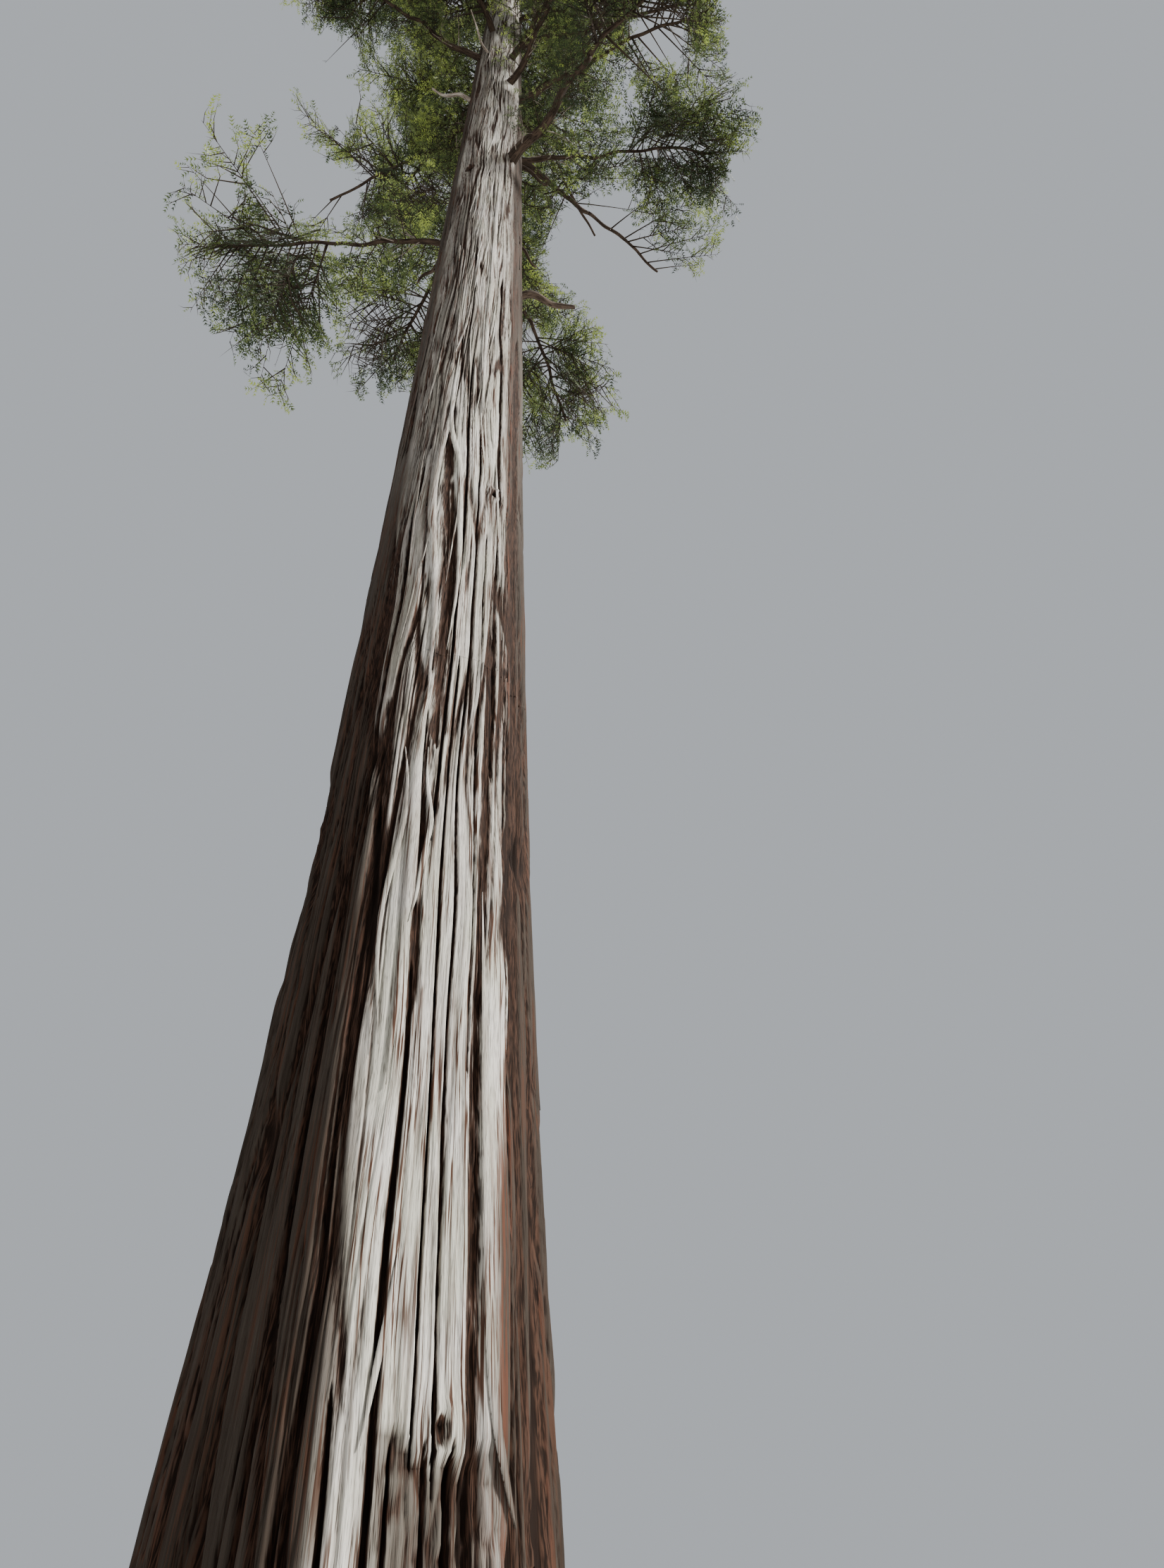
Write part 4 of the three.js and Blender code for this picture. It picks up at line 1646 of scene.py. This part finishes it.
@dataclass
class Fronds:
    """Flat fronds: each a main twig with finer twigs to both sides, in its own plane.

    The masses hold fronds on their stems. Short ones stand free on the boughs and the trunk.
    """

    form: TrunkForm
    plan: CrownPlan
    grown: int = 10
    added: int = 17
    on_bough: int = 13
    on_trunk: int = 130
    twig_step: float = 0.092
    spray_step: float = 0.051
    spray_sizes: tuple[float, float] = (0.07, 0.135)
    free_radius: float = 0.008
    free_reach: float = 1.4
    free_seed: int = 90_000
    trunk_foot: float = 16.0
    trunk_run: float = 23.9
    seen_below: float = 26.0
    bark: Colour = (0.055, 0.041, 0.03)
    ring: np.ndarray = field(default_factory=lambda: np.array([[0, 1], [-0.87, -0.5], [0.87, -0.5]]))

    def directions(self, mass: Mass, share: float, turn: int, chance: Chance) -> np.ndarray:
        """The source's way of a frond: swept to one side, and lifted or lowered by turns.

        Args:
            mass: the frond's mass.
            share: the share of the stem's length at which it stands.
            turn: its number along the stem.
            chance: the stem's chance.

        Returns:
            A unit vector.
        """
        hand = 1 if turn % 2 else -1
        sweep = math.radians(84 - 56 * share + chance.between(-12, 12))
        lift = math.radians(56 * math.sin(2.4 * turn) + chance.between(-12, 8))
        level = mass.out * math.cos(sweep) + mass.side * hand * math.sin(sweep)
        return level * math.cos(lift) + UP * math.sin(lift)

    def of_mass(self, space: Space) -> list[Stalk]:
        """A mass's fronds: the source's own, and others between them by the same rule.

        Formula: a frond is as long as the longest of a falling row of lengths at which its outline lies
        in the space, and one that finds no length is left out.

        Args:
            space: the mass's space.

        Returns:
            The main twigs.
        """
        mass = space.mass
        stem, way = mass.stem(), mass.way()
        lengths = 1.3 * 0.9 ** np.arange(13) * mass.semi[1]
        rim = np.array([[0.68, -0.42], [0.6, -0.193], [1, 0], [0.6, 0.193], [0.68, 0.42]])
        furthest = 0.95
        stalks = []
        added = max(12, round(self.added * float(mass.semi[1]) ** 0.8))
        for count, seed in ((self.grown, mass.seed), (added, mass.seed + 5000)):
            is_own = seed == mass.seed
            chance = Chance(seed)
            nearest = (0.38 if is_own else 0.2) if mass.on_trunk else 0.12
            for i in range(count):
                is_last = is_own and i == count - 1
                spaced = i / (count - 2) if is_own else (i + 0.5) / count
                share = 0.99 if is_last else nearest + (furthest - nearest) * spaced
                turned = self.directions(mass, share, i + (0 if is_own else self.grown), chance)
                along = stem.tangents(np.array([1.0]))[0] if is_last else turned
                across = Stalk.across_way(along, chance.between(-0.9, 0.9))
                root = way.points(np.array([share]))[0]
                ways = along * rim[:, :1] + across * rim[:, 1:]
                inside = space.holds(root + lengths[:, None, None] * ways, 1 if is_own else 1.08).all(1)
                if inside.any():
                    length = lengths[inside.argmax()] * (1 if is_own else chance.between(0.62, 1))
                    stalks.append(Stalk(root, along, across, length, 0.6 * mass.stem_radius(share)))
        return stalks

    def of_bough(self, bough: Bough, index: int) -> list[Stalk]:
        """Short drooping fronds on a bough, between the trunk and its mass.

        Formula: they stand at even steps, moved by chance, and leave the bough to both sides by turns.

        Args:
            bough: the bough.
            index: its place in the list of boughs.

        Returns:
            The main twigs.
        """
        chance = np.random.default_rng(7000 + index)
        out = heading_vector(bough.heading)
        side = np.cross(UP, out)
        stalks = []
        for number in range(self.on_bough):
            share = 0.26 + 0.7 * (number + chance.uniform(0, 0.8)) / self.on_bough
            hand = 1 if number % 2 else -1
            sweep = math.radians(chance.uniform(35, 80))
            level = out * math.cos(sweep) + side * hand * math.sin(sweep)
            along = unit(level + UP * chance.uniform(-0.75, 0.15))
            across = Stalk.across_way(along, chance.uniform(-0.7, 0.7))
            root = bough.way(self.form).points(np.array([share]))[0]
            stalks.append(Stalk(root, along, across, chance.uniform(0.38, 0.75), self.free_radius))
        return stalks

    def of_trunk(self) -> list[Stalk]:
        """Short fronds that wind up the trunk: behind it where the photograph shows it, then all round.

        Formula: each stands a golden angle on from the one below, is as long as the crown's reach there
        allows, and points up more and more near the tip.

        Returns:
            The main twigs.
        """
        chance = np.random.default_rng(8100)
        stalks = []
        for number in range(self.on_trunk):
            z = self.trunk_foot + self.trunk_run * (number + chance.uniform(0, 1)) / self.on_trunk
            out = heading_vector(GOLDEN_ANGLE * number)
            if z < self.seen_below:
                out = np.array([out[0], abs(out[1]), 0.0])
            top = max(0.0, (z - 34) / 6)
            along = unit(out + UP * (chance.uniform(-0.45, 0.25) + 1.6 * top))
            across = Stalk.across_way(along, chance.uniform(-0.7, 0.7))
            root = self.form.centre(z) + out * self.form.radius(z) * 0.8
            length = (0.2 + 0.24 * self.plan.reach_at(z)) * chance.uniform(0.7, 1.1)
            stalks.append(Stalk(root, along, across, length, self.free_radius))
        return stalks

    def build(self, masses: Sequence[Mass]) -> None:
        """Builds the fronds' twigs, in two pieces, and the sprays of needles on them.

        Args:
            masses: the masses of foliage.
        """
        planned = []
        for mass in masses:
            space = Space(mass, masses, self.form)
            for number, stalk in enumerate(self.of_mass(space)):
                planned.append((stalk, space, mass.centre, mass.semi.max(), mass.seed * 100 + number))
        room = Room(self.form)
        boughs = SEEN_BOUGHS + HIDDEN_BOUGHS
        free = [stalk for index, bough in enumerate(boughs) for stalk in self.of_bough(bough, index)]
        for number, stalk in enumerate(free + self.of_trunk()):
            planned.append((stalk, room, stalk.root, self.free_reach, self.free_seed + number))
        twigs, sprays = [], []
        for stalk, space, centre, reach, seed in planned:
            made, leafage = self.frond(stalk, space, seed)
            twigs.append(made)
            sprays.append(self.lit(leafage, space, centre, reach, seed))
        names = [mass.name for mass in masses]
        wood = Graph("twig_bark", roughness=0.8).finish(self.bark)
        for number in (1, 2):
            Shape.joined(twigs[number - 1 :: 2]).piece(f"frond_twigs_{number}", wood, "limb_bark", names)
        Sprays().build(np.concatenate(sprays), names)

    def frond(self, stalk: Stalk, space: Room, seed: int) -> tuple[Shape, np.ndarray]:
        """One frond.

        Formula: the main twig droops by the square of the way along it. Finer twigs leave it to both
        sides, as long as a sine of the share and the room allow. A twig with no room is left out, and
        the main twig ends at the last finer one. A frond that would lie mostly in gaps is left out too.

        Args:
            stalk: its main twig.
            space: the room that its finer twigs keep to.
            seed: which chance.

        Returns:
            The twigs, and an array of sprays: places, ways, ways across and lengths.
        """
        along, across, length = stalk.along, stalk.across, stalk.length
        chance = np.random.default_rng(seed)
        droop = chance.uniform(0.08, 0.2) * length

        def axis(share: np.ndarray) -> np.ndarray:
            """The main twig's middle."""
            return stalk.root + along * (share * length)[..., None] - UP * (droop * share**2)[..., None]

        count = 2 * max(5, int(length / self.twig_step))
        share = 0.14 + 1.66 * (np.arange(count) // 2 + chance.uniform(0, 0.8, count)) / count
        hand = np.where(np.arange(count) % 2, 1.0, -1.0)
        open_angle = np.radians(50 + chance.uniform(-17, 17, count))
        outline = 0.46 * length * np.sin(math.pi * (0.2 + 0.74 * share))
        reach = 0.04 + outline * chance.uniform(0.55, 1.15, count)
        foot = axis(share)
        way = along * np.cos(open_angle)[:, None] + across * (hand * np.sin(open_angle))[:, None]
        way = unit(way + UP * chance.uniform(-0.3, 0.04, count)[:, None])
        reach = reach * self.clear_share(space, foot, way * reach[:, None])
        is_bare = space.is_open(axis(np.linspace(0, 1, 9))).mean() > 0.55
        kept = (reach > 0) & ~is_bare
        if not kept.any():
            return Shape(np.empty((0, 3))), np.empty((0, 10))
        foot, way, reach = foot[kept], way[kept], reach[kept]

        main = np.linspace(-0.01, share[kept].max() + 0.02, 6)
        top = unit(np.cross(along, across))
        thick = stalk.radius * (1 - np.linspace(0, 0.85, 6))[:, None, None]
        rings = axis(main)[:, None] + thick * (across * self.ring[:, :1] + top * self.ring[:, 1:])
        bow = 0.16 * reach[:, None] * chance.uniform(-1, 1, (len(foot), 3))
        twigs = Shape.joined([tube_shape(rings), self.side_twigs(foot, way, reach, bow)])
        return twigs, self.spray_rows(foot, way, reach, bow, np.cross(along, across), chance)

    def clear_share(self, space: Room, foot: np.ndarray, way: np.ndarray) -> np.ndarray:
        """How much of each twig has room without a break from its foot, in steps of a sixth.

        Args:
            space: the room.
            foot: where each twig starts.
            way: how far and which way it goes.

        Returns:
            Shares from 0 to 1.
        """
        parts = np.linspace(0, 1, 7)
        places = foot[:, None] + way[:, None] * parts[1:, None]
        return parts[np.cumprod(space.has_room(places), axis=1).sum(1)]

    def side_twigs(self, foot: np.ndarray, way: np.ndarray, reach: np.ndarray, bow: np.ndarray) -> Shape:
        """Finer twigs as three-sided spikes, each bent at its middle.

        Formula: a ring at the foot, whose size goes with the twig's length, a ring of 0.6 of that at the
        bent middle, and a point at the tip.

        Args:
            foot: where each twig starts.
            way: each twig's way.
            reach: its length.
            bow: how far its middle is bent aside.

        Returns:
            A closed shape, with seven points for each twig.
        """
        normal = unit(np.cross(way, UP))
        level = np.cross(normal, way)
        girth = (0.0022 + 0.012 * reach)[:, None, None]
        round_foot = girth * (level[:, None] * self.ring[:, :1] + normal[:, None] * self.ring[:, 1:])
        middle = foot + way * reach[:, None] * 0.5 + bow
        tip = (foot + way * reach[:, None])[:, None]
        spikes = np.concatenate([foot[:, None] + round_foot, middle[:, None] + round_foot * 0.6, tip], 1)
        start = np.arange(len(foot))[:, None, None] * 7
        bands = np.array([[0, 1, 4, 3], [1, 2, 5, 4], [2, 0, 3, 5]]) + start
        ends = np.array([[3, 4, 6], [4, 5, 6], [5, 3, 6], [0, 2, 1]]) + start
        return Shape(spikes.reshape(-1, 3), bands.reshape(-1, 4), ends.reshape(-1, 3))

    def spray_rows(
        self,
        foot: np.ndarray,
        way: np.ndarray,
        reach: np.ndarray,
        bow: np.ndarray,
        normal: np.ndarray,
        chance: np.random.Generator,
    ) -> np.ndarray:
        """The sprays along finer twigs.

        Formula: sprays stand at even steps, and leave the twig by about 44 degrees to both sides by
        turns, and the last by 4. Each lies in the frond's plane, turned a little by chance.

        Args:
            foot: where each twig starts.
            way: each twig's way.
            reach: its length.
            bow: how far its middle is bent aside.
            normal: the way across the frond's plane.
            chance: the frond's chance.

        Returns:
            A row for each spray: its place, way, way across and length.
        """
        each = np.maximum(2, (reach / self.spray_step).astype(int))
        owner = np.repeat(np.arange(len(reach)), each)
        step = np.arange(len(owner)) - np.repeat(np.cumsum(each) - each, each)
        part = (step + 0.6) / each[owner]
        turn = np.where(step % 2, 1.0, -1.0)
        fork = np.radians(np.where(step == each[owner] - 1, 4, 44) + chance.uniform(-8, 8, len(owner)))
        outward = np.cross(normal, way[owner])
        ahead = way[owner] * np.cos(fork)[:, None] + outward * (turn * np.sin(fork))[:, None]
        ahead = unit(ahead + UP * chance.uniform(-0.3, 0.05, len(owner))[:, None])
        bent = bow[owner] * (1 - np.abs(2 * part - 1))[:, None]
        place = foot[owner] + way[owner] * (reach[owner] * part)[:, None] + bent
        wide = unit(np.cross(np.cross(ahead, outward), ahead) + 0.5 * chance.uniform(-1, 1, (len(owner), 3)))
        size = chance.uniform(*self.spray_sizes, len(owner))
        return np.concatenate([place, ahead, wide, size[:, None]], 1)

    def lit(
        self, sprays: np.ndarray, space: Room, centre: np.ndarray, reach: float, seed: int
    ) -> np.ndarray:
        """The sprays whose tips have room, with the painted light they are dealt.

        Formula: painted light grows with how far out and how high a spray lies from the middle, and differs
        by chance from frond to frond and from spray to spray.

        Args:
            sprays: places, ways, ways across and lengths.
            space: the room that they keep to.
            centre: the middle of the foliage round them.
            reach: how far that foliage reaches.
            seed: which chance.

        Returns:
            The kept sprays, with one more column: from 0, deep in painted shade, to 1, at a tip in painted
                sunlight.
        """
        chance = np.random.default_rng(seed + 1)
        tips = sprays[:, :3] + sprays[:, 3:6] * sprays[:, 9:10]
        away = (tips - centre) / reach
        # Painted light: brighter further out and higher up, with chance on top.
        light = 0.5 * np.linalg.norm(away, axis=1) + 0.3 * away[:, 2] + 0.24 * chance.uniform(-1, 1)
        light = light + 0.24 * chance.uniform(-1, 1, len(tips)) + 0.25 * cloud(tips, 0.35, 91)
        return np.concatenate([sprays, light[:, None]], 1)[space.has_room(tips) & ~space.is_thin(tips)]


@dataclass
class Sprays:
    """Sprays of needles: combs of pointed needles to both sides of a midrib."""

    pairs: int = 3
    dealt_at: tuple[float, float, float] = (0.3, 0.62, 0.86)

    def comb(self) -> Shape:
        """One spray of length 1 along X.

        Formula: needle pairs start at even steps along the midrib, and each needle is a triangle whose
        tip lies ahead and to the side. The spray bends down by the square of the way along it.

        Returns:
            An open shape, with a pointed needle at its end.
        """
        start = np.linspace(0.0, 0.6, self.pairs)
        half = 0.32 * np.sin(math.pi * (0.3 + 0.6 * start))
        zeros = np.zeros(self.pairs)
        rows = [
            np.stack([start, zeros, zeros], 1),
            np.stack([start + 0.15, zeros, zeros], 1),
            np.stack([start + 0.28, half, zeros + 0.03], 1),
            np.stack([start + 0.28, -half, zeros + 0.03], 1),
        ]
        points = np.stack(rows, 1).reshape(-1, 3)
        end = np.array([[0.7, 0.05, 0], [0.7, -0.05, 0], [1.0, 0, 0]])
        points = np.concatenate([points, end])
        points[:, 2] -= 0.16 * points[:, 0] ** 2
        first = np.arange(self.pairs)[:, None] * 4
        last = len(points) + np.array([[-3, -2, -1]])
        return Shape(points, triangles=np.concatenate([first + [0, 1, 2], first + [1, 0, 3], last]))

    def build(self, sprays: np.ndarray, names: Sequence[str]) -> None:
        """Deals the sprays their greens by the painted light they get, and joins each green's sprays.

        Args:
            sprays: places, ways, ways across, lengths and light.
            names: the CAD nodes that they replace.
        """
        comb = self.comb()
        per_piece = MOST_TRIANGLES // len(comb.triangles)
        bounds = np.quantile(sprays[:, 10], self.dealt_at)
        dealt = np.searchsorted(bounds, sprays[:, 10])
        for index, green in enumerate(Green):
            kind = "needles_" + green.name.lower()
            material = Graph(kind, roughness=0.6, specular=0.35).finish(green.value)
            own = sprays[dealt == index]
            for part in range(math.ceil(len(own) / per_piece)):
                some = own[part * per_piece : (part + 1) * per_piece]
                ways = np.stack([some[:, 3:6], some[:, 6:9], np.cross(some[:, 3:6], some[:, 6:9])], 1)
                points = some[:, None, :3] + some[:, 9, None, None] * (comb.points @ ways)
                faces = comb.triangles + np.arange(len(some))[:, None, None] * len(comb.points)
                shape = Shape(points.reshape(-1, 3), triangles=faces.reshape(-1, 3))
                shape.piece(f"{kind}_{part + 1}", material, "needles", names)


@dataclass(frozen=True)
class Studio:
    """The pale floor, the soft light and the camera at the photograph's place."""

    eye: tuple[float, float, float] = EYE
    lens: float = 26.94
    sensor: float = 36.0
    right: tuple[float, float, float] = (0.98284728, -0.16623986, -0.07984698)
    above: tuple[float, float, float] = (-0.06470813, -0.71628851, 0.69479754)
    back: tuple[float, float, float] = (-0.17269652, -0.67771312, -0.71475929)
    pale: Colour = (0.86, 0.9, 0.95)
    pale_strength: float = 0.46
    key_strength: float = 6.0
    key_heading: float = 122.0
    key_height: float = 42.0
    key_width: float = 9.0
    key_colour: Colour = (1.0, 0.965, 0.91)
    floor_size: float = 900.0
    floor_colour: Colour = (0.72, 0.71, 0.69)
    furthest: float = 1500.0

    def camera(self) -> None:
        """Stands at eye height and looks up the trunk."""
        data = bpy.data.cameras.new("camera")
        data.sensor_fit = "VERTICAL"
        data.sensor_height = self.sensor
        data.lens = self.lens
        data.clip_end = self.furthest
        camera = bpy.data.objects.new("camera", data)
        turned = Matrix((self.right, self.above, self.back)).transposed()
        camera.matrix_world = Matrix.Translation(self.eye) @ turned.to_4x4()
        bpy.context.scene.collection.objects.link(camera)
        bpy.context.scene.camera = camera

    def light(self) -> None:
        """An even pale light all round, and one broad key light from the photograph's right."""
        world = bpy.data.worlds.new("studio")
        world.use_nodes = True
        background = world.node_tree.nodes["Background"]
        background.inputs["Color"].default_value = (*self.pale, 1)
        background.inputs["Strength"].default_value = self.pale_strength
        bpy.context.scene.world = world
        bpy.context.scene.view_settings.look = "AgX - Medium High Contrast"

        data = bpy.data.lights.new("key", "SUN")
        data.energy = self.key_strength
        data.angle = math.radians(self.key_width)
        data.color = self.key_colour
        key = bpy.data.objects.new("key", data)
        toward = heading_vector(self.key_heading) * math.cos(math.radians(self.key_height))
        toward = toward + UP * math.sin(math.radians(self.key_height))
        key.matrix_world = self.facing(toward)
        bpy.context.scene.collection.objects.link(key)

    @staticmethod
    def facing(toward: np.ndarray) -> Matrix:
        """A turn that points a lamp's back, its +Z, along a vector."""
        side = unit(np.cross(UP, toward))
        return Matrix((side, np.cross(toward, side), toward)).transposed().to_4x4()

    def floor(self) -> None:
        """A pale plane at ground level."""
        half = self.floor_size / 2
        corners = np.array([[-half, -half, 0], [half, -half, 0], [half, half, 0], [-half, half, 0]])
        mesh = bpy.data.meshes.new("floor")
        mesh.from_pydata(corners.tolist(), [], [(0, 1, 2, 3)])
        floor = bpy.data.objects.new("floor", mesh)
        mesh.materials.append(Graph("floor", roughness=0.9).finish(self.floor_colour))
        bpy.context.scene.collection.objects.link(floor)


def main() -> None:
    """Builds the studio and the tree."""
    logging.basicConfig(level=logging.INFO, format="%(message)s")
    studio = Studio()
    studio.camera()
    studio.light()
    studio.floor()
    form = TrunkForm()
    plan = CrownPlan(form)
    masses = plan.masses()
    bark = TrunkBark(form)
    finish = BarkFinish().material()
    bark.build(finish)
    BarkStrips(bark).build(finish)
    Limbs(form).build(masses)
    Fronds(form, plan).build(masses)
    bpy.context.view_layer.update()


if __name__ == "__main__":
    main()
